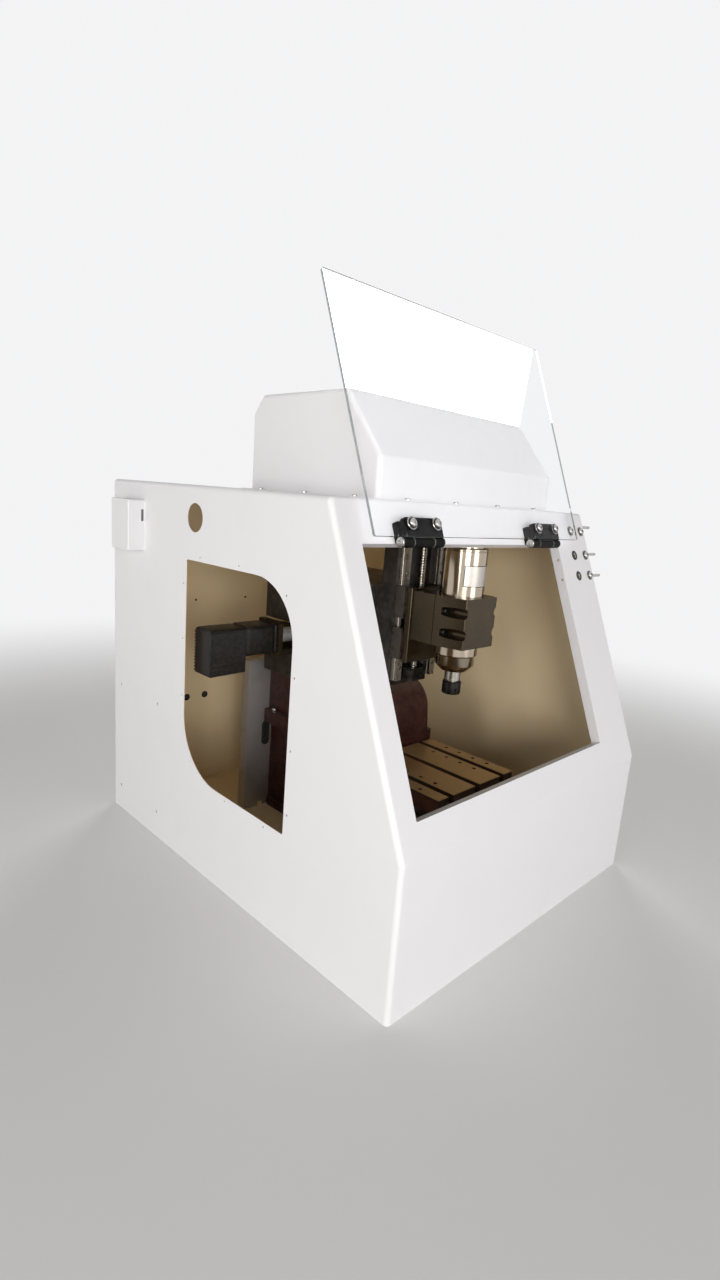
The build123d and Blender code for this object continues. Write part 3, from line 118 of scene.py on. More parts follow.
# Motors, along the shaft from the mounting face: flange, case and drive box
motor_half = 0.0285
motor_flange = 0.006
motor_case_end = 0.072
motor_end = 0.149
motor_drop = 0.029
motor_round = 0.008
flange_round = 0.004
drive_foot_round = 0.0015
drive_end_round = 0.0028
motor_overlap = 0.001
round_steps = 7
end_steps = 4
small_steps = 3

# Motor details: the pilot in front, fins at the back, two ribs on the other side as (from, to, height)
pilot_proud = 0.0015
pilot_radius = 0.015
pilot_depth = 0.0035
fin_count = 13
fin_thick = 0.0026
fin_depth = 0.005
fin_root = 0.003
fin_short = 0.0015
ribs = ((0.096, 0.144, -0.0365), (0.098, 0.143, -0.0455))
rib_half = 0.0012
rib_root = 0.002
rib_proud = 0.0009

# Spindle plate: radius, height, the angles that it covers, and how far its dark backing shows round it
plate_radius = 0.0402
plate_foot = 0.571
plate_top = 0.6085
plate_from = -142.0
plate_to = -62.0
plate_rim = 0.0012
plate_thick = 0.0005
face_proud = 0.0002

# Places on the spindle's rear cap, from its middle
cap_height = 0.022
fitting_places = [(-0.016, -0.005), (0.016, -0.005)]
connector_place = (0.0, 0.016)

# Screws of the door and the margin, as (across, up the slope, off its face), and their shanks
screw_shank = 0.0029
bolt_places = [(across, 0.46303, 0.0215) for across in (-0.217, -0.160, 0.132, 0.189)]
bolt_shank = 0.0105
margin_inner = 0.285
margin_outer = 0.329
margin_rows = (0.46635, 0.41685, 0.37485)
margin_places = [(margin_inner, margin_rows[0], 0.0)] + [(margin_outer, row, 0.0) for row in margin_rows]
margin_shank = 0.0045

# Half outlines of the turned pieces, as (radius, along)
housing_outline = [
    (0.0, 0.060), (0.0111, 0.060), (0.0111, 0.0), (0.0236, 0.0), (0.0244, 0.0005), (0.0356, 0.0115),
    (0.0360, 0.0123), (0.0360, 0.0294), (0.0364, 0.0302), (0.0394, 0.0316), (0.0400, 0.0325),
    (0.0400, 0.2196), (0.0392, 0.2204), (0.0392, 0.2218), (0.0400, 0.2226), (0.0400, 0.2243),
    (0.0396, 0.2252), (0.0380, 0.2260), (0.0, 0.2260),
]
cap_outline = [
    (0.0, 0.0), (0.033, 0.0), (0.033, 0.0196), (0.0327, 0.0207), (0.0320, 0.0216), (0.0310, cap_height),
    (0.0, cap_height),
]
fitting_outline = [
    (0.0, 0.0), (0.005, 0.0), (0.005, 0.007), (0.0042, 0.0075), (0.0042, 0.0095), (0.005, 0.0105),
    (0.0042, 0.0125), (0.005, 0.0135), (0.0042, 0.0155), (0.0046, 0.0165), (0.0040, 0.018), (0.0, 0.018),
]
connector_outline = [
    (0.0, 0.0), (0.009, 0.0), (0.009, 0.012), (0.0084, 0.0128), (0.0084, 0.018), (0.0070, 0.018),
    (0.0070, 0.012), (0.0, 0.012),
]
washer_outline = [
    (0.0052, 0.0), (0.0102, 0.0), (0.0102, 0.0008), (0.0098, 0.0012), (0.0052, 0.0012), (0.0052, 0.0),
]
# The black ring under each dome head is partly a lock washer and partly painted shade round the head.
dark_ring_outline = [
    (0.0052, 0.0012), (0.0084, 0.0012), (0.0084, 0.0019), (0.0052, 0.0019), (0.0052, 0.0012),
]
dome_outline = [
    (screw_shank, 0.0019), (0.0068, 0.0019), (0.0068, 0.0028), (0.0064, 0.0041), (0.0056, 0.0051),
    (0.0044, 0.0058), (0.0030, 0.0061), (0.0027, 0.0060), (0.0027, 0.0035), (0.0, 0.0032),
]
pin_cap_outline = [
    (0.0, 0.0006), (0.0028, 0.0006), (0.0028, pin_cap_thick), (0.0070, pin_cap_thick), (0.0076, 0.0014),
    (0.0076, 0.0), (0.003, 0.0),
]
# Outline of the black rings in the empty margin holes, which are painted shade.
shade_ring_outline = [
    (0.0051, -0.0012), (0.0051, 0.0007), (0.0092, 0.0007), (0.0096, 0.0003), (0.0096, 0.00005),
    (0.0051, -0.0012),
]

# Dark rubber pieces in the rear panel's holes, placed by (across, height, radius), which are painted shade,
# and the edges of the plate behind the column
shade_plugs_from = 0.4235
shade_plug_places = [
    (-0.173, 0.217, 0.008), (-0.125, 0.217, 0.008), (-0.1545, 0.450, 0.0026), (-0.0175, 0.450, 0.0026),
]
shade_plug_rim = 0.0006
shade_plug_shoulder = 0.0014
shade_plug_top = 0.0017
shade_plug_crown = 0.8
plate_flange = 0.022
plate_sheet = 0.003
plate_lap = 0.0002
side_flange_drop = 0.002

# Widths of broken edges
bar_edge = 0.0005
fin_edge = 0.0005
rib_edge = 0.0006
flange_edge = 0.0008

# Sides of turned pieces, and the angles in degrees under which faces look round
plate_sides = 180
housing_sides = 128
cap_sides = 96
small_sides = 48
least_sides = 32
turned_angle = 32
plain_angle = 40
plate_angle = 30

# Distances under which points are joined, and those that tell a motor's edges apart
weld = 0.00001
thread_weld = 0.00002
end_reach = 0.0001
shaft_run = 0.001

# Ball screws: lead, groove, and the radii of thread and turned ends
screw_lead = 0.005
screw_groove = 0.0016
groove_depth = 0.62
groove_steps = 6
screw_radius = 0.008
journal_radius = 0.006

# Threads: name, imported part, axis, start and end along it, body, steps in a turn
threads = [
    ("x_screw_thread", "x_ball_screw", (1, 0, 0), -0.096, 0.124, "x_screw", 32),
    ("y_screw_thread", "y_ball_screw", (0, 1, 0), -0.360, 0.195, "y_screw", 24),
    ("z_screw_thread", "z_ball_screw", (0, 0, 1), 0.396, 0.643, "z_screw", 32),
]

# Servo motors: name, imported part, the way the case points, the side away from the drive's foot, body
servos = [
    ("x_servo", "x_motor", (-1, 0, 0), (0, 0, 1), "frame"),
    ("y_servo", "y_motor", (0, 1, 0), (0, 0, 1), "frame"),
    ("z_servo", "z_motor", (0, 0, 1), (0, -1, 0), "saddle"),
]


def camera():
    """The photograph's viewpoint: above the front left corner, looking down at the machine."""
    data = bpy.data.cameras.new("camera")
    data.lens = camera_lens
    data.sensor_width = camera_sensor
    data.clip_start = 0.01
    data.clip_end = 100.0
    obj = bpy.data.objects.new("camera", data)
    bpy.context.scene.collection.objects.link(obj)
    ahead = camera_ahead.normalized()
    right = ahead.cross(camera_up).normalized()
    up = right.cross(ahead)
    turn = Matrix((right, up, -ahead)).transposed().to_4x4()
    obj.matrix_world = Matrix.Translation(camera_place) @ turn
    bpy.context.scene.camera = obj


# Shader groups


def shader_group(name, inputs, outputs):
    """An empty node group with named sockets, given as name: default, or name: None for a vector."""
    tree = bpy.data.node_groups.new(name, "ShaderNodeTree")
    for label, default in inputs.items():
        kind = "NodeSocketVector" if default is None else "NodeSocketFloat"
        socket = tree.interface.new_socket(label, in_out="INPUT", socket_type=kind)
        if default is not None:
            socket.default_value = default
    for label in outputs:
        tree.interface.new_socket(label, in_out="OUTPUT", socket_type="NodeSocketFloat")
    return Nodes(tree)


class Nodes:
    """A node tree in the making, with short calls to add and join nodes."""

    def __init__(self, tree):
        self.tree = tree

    def add(self, kind, **settings):
        node = self.tree.nodes.new(kind)
        for key, value in settings.items():
            setattr(node, key, value)
        return node

    def join(self, source, target):
        self.tree.links.new(source, target)

    def feed(self, socket, value):
        """Give a socket a number, a tuple or another node's socket."""
        if isinstance(value, bpy.types.NodeSocket):
            self.join(value, socket)
        else:
            socket.default_value = value

    def inputs(self):
        return self.add("NodeGroupInput").outputs

    def outputs(self):
        return self.add("NodeGroupOutput").inputs

    def math(self, operation, first, second=0.0, third=None, clamp=False):
        node = self.add("ShaderNodeMath", operation=operation, use_clamp=clamp)
        self.feed(node.inputs[0], first)
        self.feed(node.inputs[1], second)
        if third is not None:
            self.feed(node.inputs[2], third)
        return node.outputs[0]

    def between(self, value, low, high):
        """0 below low, 1 above high, eased."""
        node = self.add("ShaderNodeMapRange", interpolation_type="SMOOTHSTEP")
        self.feed(node.inputs["Value"], value)
        self.feed(node.inputs["From Min"], low)
        self.feed(node.inputs["From Max"], high)
        return node.outputs["Result"]

    def spread(self, value, low, high):
        """A 0 to 1 value stretched over low to high."""
        node = self.add("ShaderNodeMapRange")
        self.feed(node.inputs["Value"], value)
        self.feed(node.inputs["To Min"], low)
        self.feed(node.inputs["To Max"], high)
        return node.outputs["Result"]

    def blend(self, share, first, second):
        """Two colours mixed by share."""
        node = self.add("ShaderNodeMix", data_type="RGBA", blend_type="MIX")
        self.feed(node.inputs["Factor"], share)
        self.feed(node.inputs["A"], as_colour(first))
        self.feed(node.inputs["B"], as_colour(second))
        return node.outputs["Result"]

    def cover(self, mask, most, under, over):
        """One colour laid over another by a mask, at most to that share."""
        return self.blend(self.math("MULTIPLY", mask, most), under, over)

    def dot(self, first, second):
        node = self.add("ShaderNodeVectorMath", operation="DOT_PRODUCT")
        self.feed(node.inputs[0], first)
        self.feed(node.inputs[1], second)
        return node.outputs["Value"]

    def parts(self, vector):
        """The X, Y and Z of a vector."""
        node = self.add("ShaderNodeSeparateXYZ")
        self.join(vector, node.inputs[0])
        return node.outputs

    def place(self):
        """The point on the piece, in the machine's own frame."""
        return self.add("ShaderNodeTexCoord").outputs["Object"]

    def facing(self):
        """The surface's normal, in the machine's own frame."""
        return self.add("ShaderNodeTexCoord").outputs["Normal"]

    def stretched(self, scale):
        """The point on the piece with each axis scaled."""
        node = self.add("ShaderNodeMapping", vector_type="POINT")
        self.join(self.place(), node.inputs["Vector"])
        node.inputs["Scale"].default_value = scale
        return node.outputs["Vector"]

    def noise(self, vector, scale, detail=3.0, roughness=0.5):
        node = self.add("ShaderNodeTexNoise")
        self.feed(node.inputs["Vector"], vector)
        self.feed(node.inputs["Scale"], scale)
        self.feed(node.inputs["Detail"], detail)
        self.feed(node.inputs["Roughness"], roughness)
        return node.outputs["Fac"]

    def group(self, tree, **values):
        """A shader group placed here, with its own values. An underscore in a name stands for a space."""
        node = self.add("ShaderNodeGroup")
        node.node_tree = tree
        for label, value in values.items():
            self.feed(node.inputs[label.replace("_", " ")], value)
        return node.outputs


def as_colour(value):
    if isinstance(value, tuple) and len(value) == 3:
        return (*value, 1.0)
    return value


def cast_skin_group():
    """The skin of a sand casting under paint: fine grain, and slow swells."""
    g = shader_group("cast_skin", {"Grain": 700.0, "Swell": 45.0}, ["Height", "Mottle"])
    ins = g.inputs()
    outs = g.outputs()
    fine = g.noise(g.place(), ins["Grain"], detail=4.0, roughness=0.6)
    slow = g.noise(g.place(), ins["Swell"], detail=2.0)
    g.join(g.math("MULTIPLY_ADD", slow, 1.6, fine), outs["Height"])
    g.join(g.between(slow, 0.35, 0.65), outs["Mottle"])
    return g.tree


def tool_lines_group():
    """Fine lines that a tool or a wheel left, across the stretched vector that comes in."""
    g = shader_group("tool_lines", {"Vector": None}, ["Line", "Patch"])
    ins = g.inputs()
    outs = g.outputs()
    g.join(g.noise(ins["Vector"], 1.0, detail=4.0, roughness=0.7), outs["Line"])
    g.join(g.noise(g.place(), 28.0), outs["Patch"])
    return g.tree


def edge_wear_and_highlight_group():
    """A mask of the edges where handling rubs a finish thin; on the castings and hinges it also carries a
    painted highlight of edges catching light.
    """
    g = shader_group("edge_wear_and_highlight", {"Width": 0.0012, "Grain": 260.0, "Start": 0.40}, ["Mask"])
    ins = g.inputs()
    outs = g.outputs()
    bevel = g.add("ShaderNodeBevel", samples=4)
    g.join(ins["Width"], bevel.inputs["Radius"])
    geometry = g.add("ShaderNodeNewGeometry")
    edge = g.between(g.dot(bevel.outputs["Normal"], geometry.outputs["Normal"]), 0.995, 0.90)
    wave = g.noise(g.place(), ins["Grain"], detail=4.0)
    wear_and_highlight = g.between(wave, ins["Start"], g.math("ADD", ins["Start"], 0.20))
    g.join(g.math("MULTIPLY", edge, wear_and_highlight), outs["Mask"])
    return g.tree


def settled_dust_group():
    """Dust that lies on faces that look up, thicker in patches."""
    g = shader_group("settled_dust", {"Patch": 60.0, "Cover": 0.5}, ["Mask"])
    ins = g.inputs()
    outs = g.outputs()
    level = g.between(g.parts(g.facing())["Z"], 0.55, 0.98)
    thick = g.spread(g.noise(g.place(), ins["Patch"], detail=5.0, roughness=0.65), 0.2, 1.2)
    g.join(g.math("MULTIPLY", g.math("MULTIPLY", level, thick), ins["Cover"], clamp=True), outs["Mask"])
    return g.tree


def stain_group():
    """Soft edged patches, as oil and damp leave on bare metal."""
    g = shader_group("stain", {"Size": 40.0, "Start": 0.5, "Edge": 0.1}, ["Mask"])
    ins = g.inputs()
    outs = g.outputs()
    wave = g.noise(g.place(), ins["Size"], detail=5.0, roughness=0.6)
    g.join(g.between(wave, ins["Start"], g.math("ADD", ins["Start"], ins["Edge"])), outs["Mask"])
    return g.tree


def inner_face_group():
    """A mask of the faces that look to the middle of the enclosure from between its side panels; it lays the
    inside tone, which on the panels is painted warm light.
    """
    g = shader_group("inner_face", {"Middle": 0.0, "Reach": 1.0}, ["Mask"])
    ins = g.inputs()
    outs = g.outputs()
    middle = g.add("ShaderNodeCombineXYZ")
    g.join(ins["Middle"], middle.inputs["Z"])
    inward = g.add("ShaderNodeVectorMath", operation="SUBTRACT")
    g.join(middle.outputs[0], inward.inputs[0])
    g.join(g.place(), inward.inputs[1])
    turned_in = g.between(g.dot(inward.outputs[0], g.facing()), 0.0, 0.05)
    inside = g.math("LESS_THAN", g.math("ABSOLUTE", g.parts(g.place())["X"]), ins["Reach"])
    g.join(g.math("MULTIPLY", turned_in, inside), outs["Mask"])
    return g.tree


cast_skin = cast_skin_group()
tool_lines = tool_lines_group()
edge_wear_and_highlight = edge_wear_and_highlight_group()
settled_dust = settled_dust_group()
stain = stain_group()
inner_face = inner_face_group()


# Materials


class Finish(Nodes):
    """A material with one Principled BSDF."""

    def __init__(self, name, **plain):
        self.material = bpy.data.materials.new(name)
        self.material.use_nodes = True
        super().__init__(self.material.node_tree)
        self.shader = self.tree.nodes["Principled BSDF"]
        for label, value in plain.items():
            self.set(label.replace("_", " "), as_colour(value))

    def set(self, label, value):
        self.feed(self.shader.inputs[label], value)

    def lines(self, stretch):
        """Tool lines, drawn out by a scale on each axis."""
        return self.group(tool_lines, Vector=self.stretched(stretch))

    def bump(self, height, depth, strength):
        """Relief of that depth in metres."""
        node = self.add("ShaderNodeBump")
        node.inputs["Strength"].default_value = strength
        node.inputs["Distance"].default_value = depth
        self.join(height, node.inputs["Height"])
        self.join(node.outputs["Normal"], self.shader.inputs["Normal"])


def white_sheet(name, inside):
    """Powder coat on folded sheet, with a tone of its own on inner faces, which on the panels is painted
    warm light: orange peel, handling marks, dust on top.
    """
    f = Finish(name, Coat_Weight=0.06, Coat_Roughness=0.35)
    skin = f.group(cast_skin, Grain=520.0, Swell=14.0)
    inner = f.group(inner_face, Middle=inside_height, Reach=inside_reach)["Mask"]
    # Inner faces take the inside tone; for the panels this warm cream is painted warm light that brightens
    # the interior.
    paint = f.blend(inner, sheet_tone, inside)
    paint = f.cover(skin["Mottle"], 0.05, paint, (0.70, 0.70, 0.70))
    marks = f.group(stain, Size=9.0, Start=0.56, Edge=0.16)["Mask"]
    paint = f.cover(marks, 0.06, paint, (0.62, 0.60, 0.56))
    dust = f.group(settled_dust, Patch=35.0, Cover=0.10)["Mask"]
    f.set("Base Color", f.blend(dust, paint, (0.52, 0.48, 0.42)))
    f.set("Roughness", f.spread(marks, 0.40, 0.52))
    f.bump(skin["Height"], 0.00006, strength=0.5)
    return f.material


def clear_door():
    """Clear acrylic with a faint haze of handling, and edge faces tinted dark grey-green as painted shade.
    """
    f = Finish("clear_door", IOR=1.14, Transmission_Weight=1.0)
    edge = f.between(f.math("ABSOLUTE", f.dot(f.facing(), door_normal)), 0.75, 0.45)
    # Edge faces are tinted dark grey-green: painted shade on the pane's edges.
    f.set("Base Color", f.blend(edge, (0.992, 0.998, 0.996), (0.16, 0.19, 0.18)))
    haze = f.group(stain, Size=11.0, Start=0.52, Edge=0.22)["Mask"]
    f.set("Roughness", f.spread(haze, 0.0, 0.03))
    return f.material


def black_enamel():
    """Satin black on the hinges, bare metal where the knuckles turn: partly wear, partly a painted highlight
    of the silver lines along them.
    """
    f = Finish("black_enamel", Specular_IOR_Level=0.08)
    wear_and_highlight = f.group(edge_wear_and_highlight, Width=0.0012, Grain=60.0, Start=0.18)["Mask"]
    spot = f.parts(f.place())
    back = f.math("SUBTRACT", spot["Y"], hinge_axis[1])
    rise = f.math("SUBTRACT", spot["Z"], hinge_axis[2])
    away = f.math("SQRT", f.math("ADD", f.math("MULTIPLY", back, back), f.math("MULTIPLY", rise, rise)))
    knuckle_wear_and_highlight = f.math("MULTIPLY", wear_and_highlight, f.between(away, knuckle_far, knuckle_near))
    skin = f.group(cast_skin, Grain=900.0, Swell=120.0)
    dark = f.blend(skin["Mottle"], (0.004, 0.004, 0.004), (0.008, 0.0078, 0.0075))
    # The bare metal band near the knuckles is partly wear and partly a painted highlight.
    f.set("Base Color", f.cover(knuckle_wear_and_highlight, 0.8, dark, (0.50, 0.49, 0.47)))
    f.set("Roughness", f.spread(skin["Mottle"], 0.42, 0.52))
    f.bump(skin["Height"], 0.00002, strength=0.3)
    return f.material


def zinc_plate():
    """Bright zinc on screws, studs and pins, with cloudy spots."""
    f = Finish("zinc_plate", Metallic=1.0)
    cloud = f.group(stain, Size=320.0, Start=0.42, Edge=0.25)["Mask"]
    f.set("Base Color", f.blend(cloud, (0.52, 0.51, 0.50), (0.36, 0.345, 0.32)))
    f.set("Roughness", f.spread(cloud, 0.18, 0.32))
    skin = f.group(cast_skin, Grain=2200.0, Swell=500.0)
    f.bump(skin["Height"], 0.00003, strength=0.4)
    return f.material


def enamelled_casting(name, deep, light, bare):
    """Enamel over cast iron: grain from the sand, swells, corners of bare iron that are partly wear and
    partly a painted highlight of edges catching light, dust and oil.
    """
    f = Finish(name, Coat_Weight=0.08, Coat_Roughness=0.2, Specular_IOR_Level=0.3)
    skin = f.group(cast_skin, Grain=520.0, Swell=70.0)
    paint = f.blend(skin["Mottle"], deep, light)
    oil = f.group(stain, Size=22.0, Start=0.50, Edge=0.18)["Mask"]
    paint = f.cover(oil, 0.35, paint, tuple(0.55 * c for c in deep))
    wear_and_highlight = f.group(edge_wear_and_highlight, Width=0.0015, Grain=180.0)["Mask"]
    # Bare iron on the edges: partly wear, partly a painted highlight of edges catching light.
    paint = f.cover(wear_and_highlight, 0.55, paint, bare)
    dust = f.group(settled_dust, Patch=90.0, Cover=0.30)["Mask"]
    f.set("Base Color", f.blend(dust, paint, (0.30, 0.25, 0.20)))
    f.set("Roughness", f.spread(oil, 0.46, 0.28))
    f.bump(skin["Height"], 0.00035, strength=0.7)
    return f.material


def black_anodising():
    """Milled aluminium under black anodising: tool marks, a warm brown cast that is a painted reflection of
    warm light, bright edges of bare aluminium from wear.
    """
    f = Finish("black_anodising", Metallic=0.75)
    lines = f.lines((900.0, 60.0, 900.0))
    # The warm brown base tints the reflections gold: painted reflection of warm light.
    dark = f.blend(lines["Patch"], (0.050, 0.036, 0.020), (0.078, 0.057, 0.032))
    wear_and_highlight = f.group(edge_wear_and_highlight, Width=0.0007, Grain=300.0)["Mask"]
    f.set("Base Color", f.cover(wear_and_highlight, 0.25, dark, (0.34, 0.30, 0.24)))
    f.set("Roughness", f.spread(lines["Line"], 0.20, 0.32))
    f.bump(lines["Line"], 0.00002, strength=0.4)
    return f.material


def chrome_turned():
    """Polished turned steel with rings around the spindle's axis and a few finger marks; its golden tint is
    a painted reflection of warm light.
    """
    f = Finish("chrome_turned", Metallic=1.0)
    rings = f.lines((1.0, 1.0, 2600.0))
    marks = f.group(stain, Size=34.0, Start=0.52, Edge=0.14)["Mask"]
    # The golden tint of the base is a painted reflection of warm light.
    bright = f.blend(rings["Line"], (0.41, 0.345, 0.265), (0.51, 0.44, 0.35))
    f.set("Base Color", f.cover(marks, 0.25, bright, (0.34, 0.265, 0.18)))
    f.set("Roughness", f.spread(marks, 0.14, 0.25))
    f.bump(rings["Line"], 0.000012, strength=0.35)
    return f.material


def ground_steel():
    """Ground steel of the rails, screws and collet."""
    f = Finish("ground_steel", Metallic=1.0)
    lines = f.lines((700.0, 90.0, 90.0))
    oil = f.group(stain, Size=55.0, Start=0.50, Edge=0.2)["Mask"]
    steel = f.blend(lines["Line"], (0.34, 0.31, 0.265), (0.47, 0.44, 0.39))
    f.set("Base Color", f.cover(oil, 0.4, steel, (0.24, 0.19, 0.13)))
    f.set("Roughness", f.spread(oil, 0.30, 0.20))
    f.bump(lines["Line"], 0.00002, strength=0.3)
    return f.material


def ground_iron_table():
    """The table's iron: ground and oily brown on top, darkened under its top face as painted shade in the
    slots and on the lower faces, enamelled on both sides.
    """
    f = Finish("ground_iron_table")
    lines = f.lines((1500.0, 60.0, 300.0))
    film = f.group(stain, Size=9.0, Start=0.44, Edge=0.25)["Mask"]
    iron = f.blend(lines["Line"], (0.44, 0.29, 0.135), (0.54, 0.37, 0.19))
    iron = f.cover(film, 0.6, iron, (0.44, 0.27, 0.11))
    spot = f.parts(f.place())
    # Darker under the top face: painted shade in the T-slots and on the front and back faces.
    below = f.between(spot["Z"], table_face - 0.0005, table_face - 0.0015)
    iron = f.blend(below, iron, (0.075, 0.042, 0.024))
    sideways = f.between(f.math("ABSOLUTE", f.parts(f.facing())["X"]), 0.6, 0.8)
    out = f.math("ABSOLUTE", f.math("SUBTRACT", spot["X"], table_middle))
    side = f.math("MULTIPLY", sideways, f.between(out, table_half - 0.002, table_half - 0.001))
    skin = f.group(cast_skin, Grain=520.0, Swell=70.0)
    enamel_side = f.blend(skin["Mottle"], (0.060, 0.018, 0.013), (0.100, 0.032, 0.023))
    f.set("Base Color", f.blend(side, iron, enamel_side))
    f.set("Metallic", f.spread(f.math("MAXIMUM", side, below), 0.6, 0.0))
    f.set("Roughness", f.spread(film, 0.40, 0.30))
    f.bump(lines["Line"], 0.00003, strength=0.4)
    return f.material


def carriage_steel():
    """Blued steel of the carriages and nuts, with a film of oil."""
    f = Finish("carriage_steel", Metallic=0.9)
    lines = f.lines((500.0, 500.0, 80.0))
    oil = f.group(stain, Size=70.0, Start=0.48, Edge=0.2)["Mask"]
    steel = f.blend(lines["Patch"], (0.10, 0.088, 0.072), (0.15, 0.132, 0.11))
    f.set("Base Color", f.cover(oil, 0.4, steel, (0.065, 0.052, 0.040)))
    f.set("Roughness", f.spread(oil, 0.36, 0.24))
    f.bump(lines["Line"], 0.00002, strength=0.3)
    return f.material


def black_oxide():
    """Black oxide on the collet nut, bearing blocks, clamp screws, the black rings under the dome heads,
    which are partly painted shade, and the plate's backing.
    """
    f = Finish("black_oxide", Metallic=0.8)
    wear_and_highlight = f.group(edge_wear_and_highlight, Width=0.0004, Grain=500.0)["Mask"]
    skin = f.group(cast_skin, Grain=1600.0, Swell=60.0)
    dark = f.blend(skin["Mottle"], (0.016, 0.015, 0.014), (0.030, 0.027, 0.024))
    f.set("Base Color", f.cover(wear_and_highlight, 0.35, dark, (0.24, 0.22, 0.19)))
    f.set("Roughness", f.spread(skin["Mottle"], 0.26, 0.40))
    f.bump(skin["Height"], 0.00003, strength=0.4)
    return f.material


def turned_aluminium(name, stretch):
    """Bright turned aluminium of a coupling, with rings across its axis."""
    f = Finish(name, Metallic=0.6)
    rings = f.lines(stretch)
    f.set("Base Color", f.blend(rings["Line"], (0.80, 0.79, 0.77), (0.95, 0.94, 0.92)))
    f.set("Roughness", f.spread(rings["Patch"], 0.20, 0.32))
    f.bump(rings["Line"], 0.00002, strength=0.4)
    return f.material


def bare_label():
    """Fine brushed aluminium of the spindle's thin plate, brushed round."""
    f = Finish("bare_label", Metallic=0.9)
    lines = f.lines((60.0, 60.0, 3000.0))
    marks = f.group(stain, Size=75.0, Start=0.50, Edge=0.15)["Mask"]
    bare = f.blend(lines["Line"], (0.46, 0.43, 0.39), (0.58, 0.55, 0.51))
    f.set("Base Color", f.cover(marks, 0.35, bare, (0.34, 0.30, 0.26)))
    f.set("Roughness", f.spread(lines["Line"], 0.34, 0.50))
    f.bump(lines["Line"], 0.00002, strength=0.4)
    return f.material


def motor_black():
    """Semi-gloss black on the motor's die cast and extruded cases."""
    f = Finish("motor_black", Coat_Weight=0.10, Coat_Roughness=0.14, Specular_IOR_Level=0.14)
    skin = f.group(cast_skin, Grain=1100.0, Swell=160.0)
    dark = f.blend(skin["Mottle"], (0.012, 0.010, 0.009), (0.020, 0.017, 0.015))
    wear_and_highlight = f.group(edge_wear_and_highlight, Width=0.0006, Grain=380.0)["Mask"]
    dark = f.cover(wear_and_highlight, 0.3, dark, (0.20, 0.18, 0.16))
    dust = f.group(settled_dust, Patch=120.0, Cover=0.14)["Mask"]
    f.set("Base Color", f.blend(dust, dark, (0.17, 0.145, 0.12)))
    f.set("Roughness", f.spread(skin["Mottle"], 0.34, 0.48))
    f.bump(skin["Height"], 0.00005, strength=0.5)
    return f.material


def brushed_stainless():
    """The bare plate behind the column, brushed up and down, with clouds of handling."""
    f = Finish("brushed_stainless", Metallic=0.65)
    lines = f.lines((1400.0, 1400.0, 18.0))
    marks = f.group(stain, Size=12.0, Start=0.48, Edge=0.2)["Mask"]
    steel = f.blend(lines["Line"], (0.50, 0.49, 0.475), (0.66, 0.65, 0.635))
    f.set("Base Color", f.cover(marks, 0.3, steel, (0.33, 0.30, 0.26)))
    f.set("Roughness", f.spread(lines["Line"], 0.36, 0.52))
    f.bump(lines["Line"], 0.00002, strength=0.4)
    return f.material


def black_rubber():
    """Matt rubber of the cable grommet, and of the dark pieces in the margin's empty holes and the rear
    panel's holes, which are painted shade.
    """
    f = Finish("black_rubber")
    skin = f.group(cast_skin, Grain=1400.0, Swell=200.0)
    f.set("Base Color", f.blend(skin["Mottle"], (0.016, 0.016, 0.016), (0.034, 0.033, 0.032)))
    f.set("Roughness", f.spread(skin["Mottle"], 0.62, 0.78))
    f.bump(skin["Height"], 0.00008, strength=0.5)
    return f.material


white = white_sheet("white_sheet", sheet_tone)
# The panels take a warm cream on their inner faces: painted warm light, not a different paint.
cream_inside = white_sheet("cream_inside", warm_light_tone)
zinc = zinc_plate()
rail_steel = ground_steel()
table_iron = ground_iron_table()
anodised = black_anodising()
chrome = chrome_turned()
bare = bare_label()
oxide = black_oxide()
slide_steel = carriage_steel()
motor = motor_black()
enamel = black_enamel()
stainless = brushed_stainless()
rubber = black_rubber()
red_iron = enamelled_casting(
    "red_casting", (0.030, 0.009, 0.008), (0.054, 0.016, 0.013), (0.20, 0.12, 0.09)
)
black_iron = enamelled_casting(
    "black_casting", (0.022, 0.019, 0.017), (0.045, 0.038, 0.032), (0.20, 0.17, 0.14)
)
finishes = {
    white: ["front_cover", "hood", "side_box"],
    cream_inside: ["left_panel", "right_panel", "top_panel", "rear_panel", "floor_tray"],
    clear_door(): ["door_pane"],
    enamel: ["hinge_fixed_leaves", "hinge_moving_leaves"],
    zinc: ["hinge_pins", "door_bolts", "hood_screws", "margin_screws", "side_studs", "column_bolts"],
    red_iron: ["base_casting", "column_casting"],
    black_iron: ["x_beam", "saddle", "z_base"],
    anodised: [
        "head_plate", "spindle_mount", "spindle_clamp",
        "x_motor_bracket", "y_motor_bracket", "z_motor_bracket",
    ],
    chrome: ["spindle_body", "spindle_cap"],
    rail_steel: [
        "x_rails", "y_rails", "z_rails", "x_ball_screw", "y_ball_screw", "z_ball_screw",
        "spindle_shaft", "collet",
    ],
    table_iron: ["table"],
    slide_steel: [
        "x_carriages", "y_carriages", "z_carriages", "x_nut", "y_nut", "z_nut",
        "y_nut_bracket", "z_nut_bracket",
    ],
    oxide: ["collet_nut", "clamp_screws", "x_bearings", "y_bearings", "z_bearings"],
    turned_aluminium("turned_along_x", (2200.0, 1.0, 1.0)): ["x_coupling"],
    turned_aluminium("turned_along_y", (1.0, 2200.0, 1.0)): ["y_coupling"],
    turned_aluminium("turned_along_z", (1.0, 1.0, 2200.0)): ["z_coupling"],
    motor: ["x_motor", "y_motor", "z_motor"],
    stainless: ["back_plate"],
    rubber: ["cable_grommet"],
}


def dress_parts():
    """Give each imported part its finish."""
    for material, names in finishes.items():
        for name in names:
            mesh = frame["nodes"][name].data
            mesh.materials.clear()
            mesh.materials.append(material)


# Modelling helpers


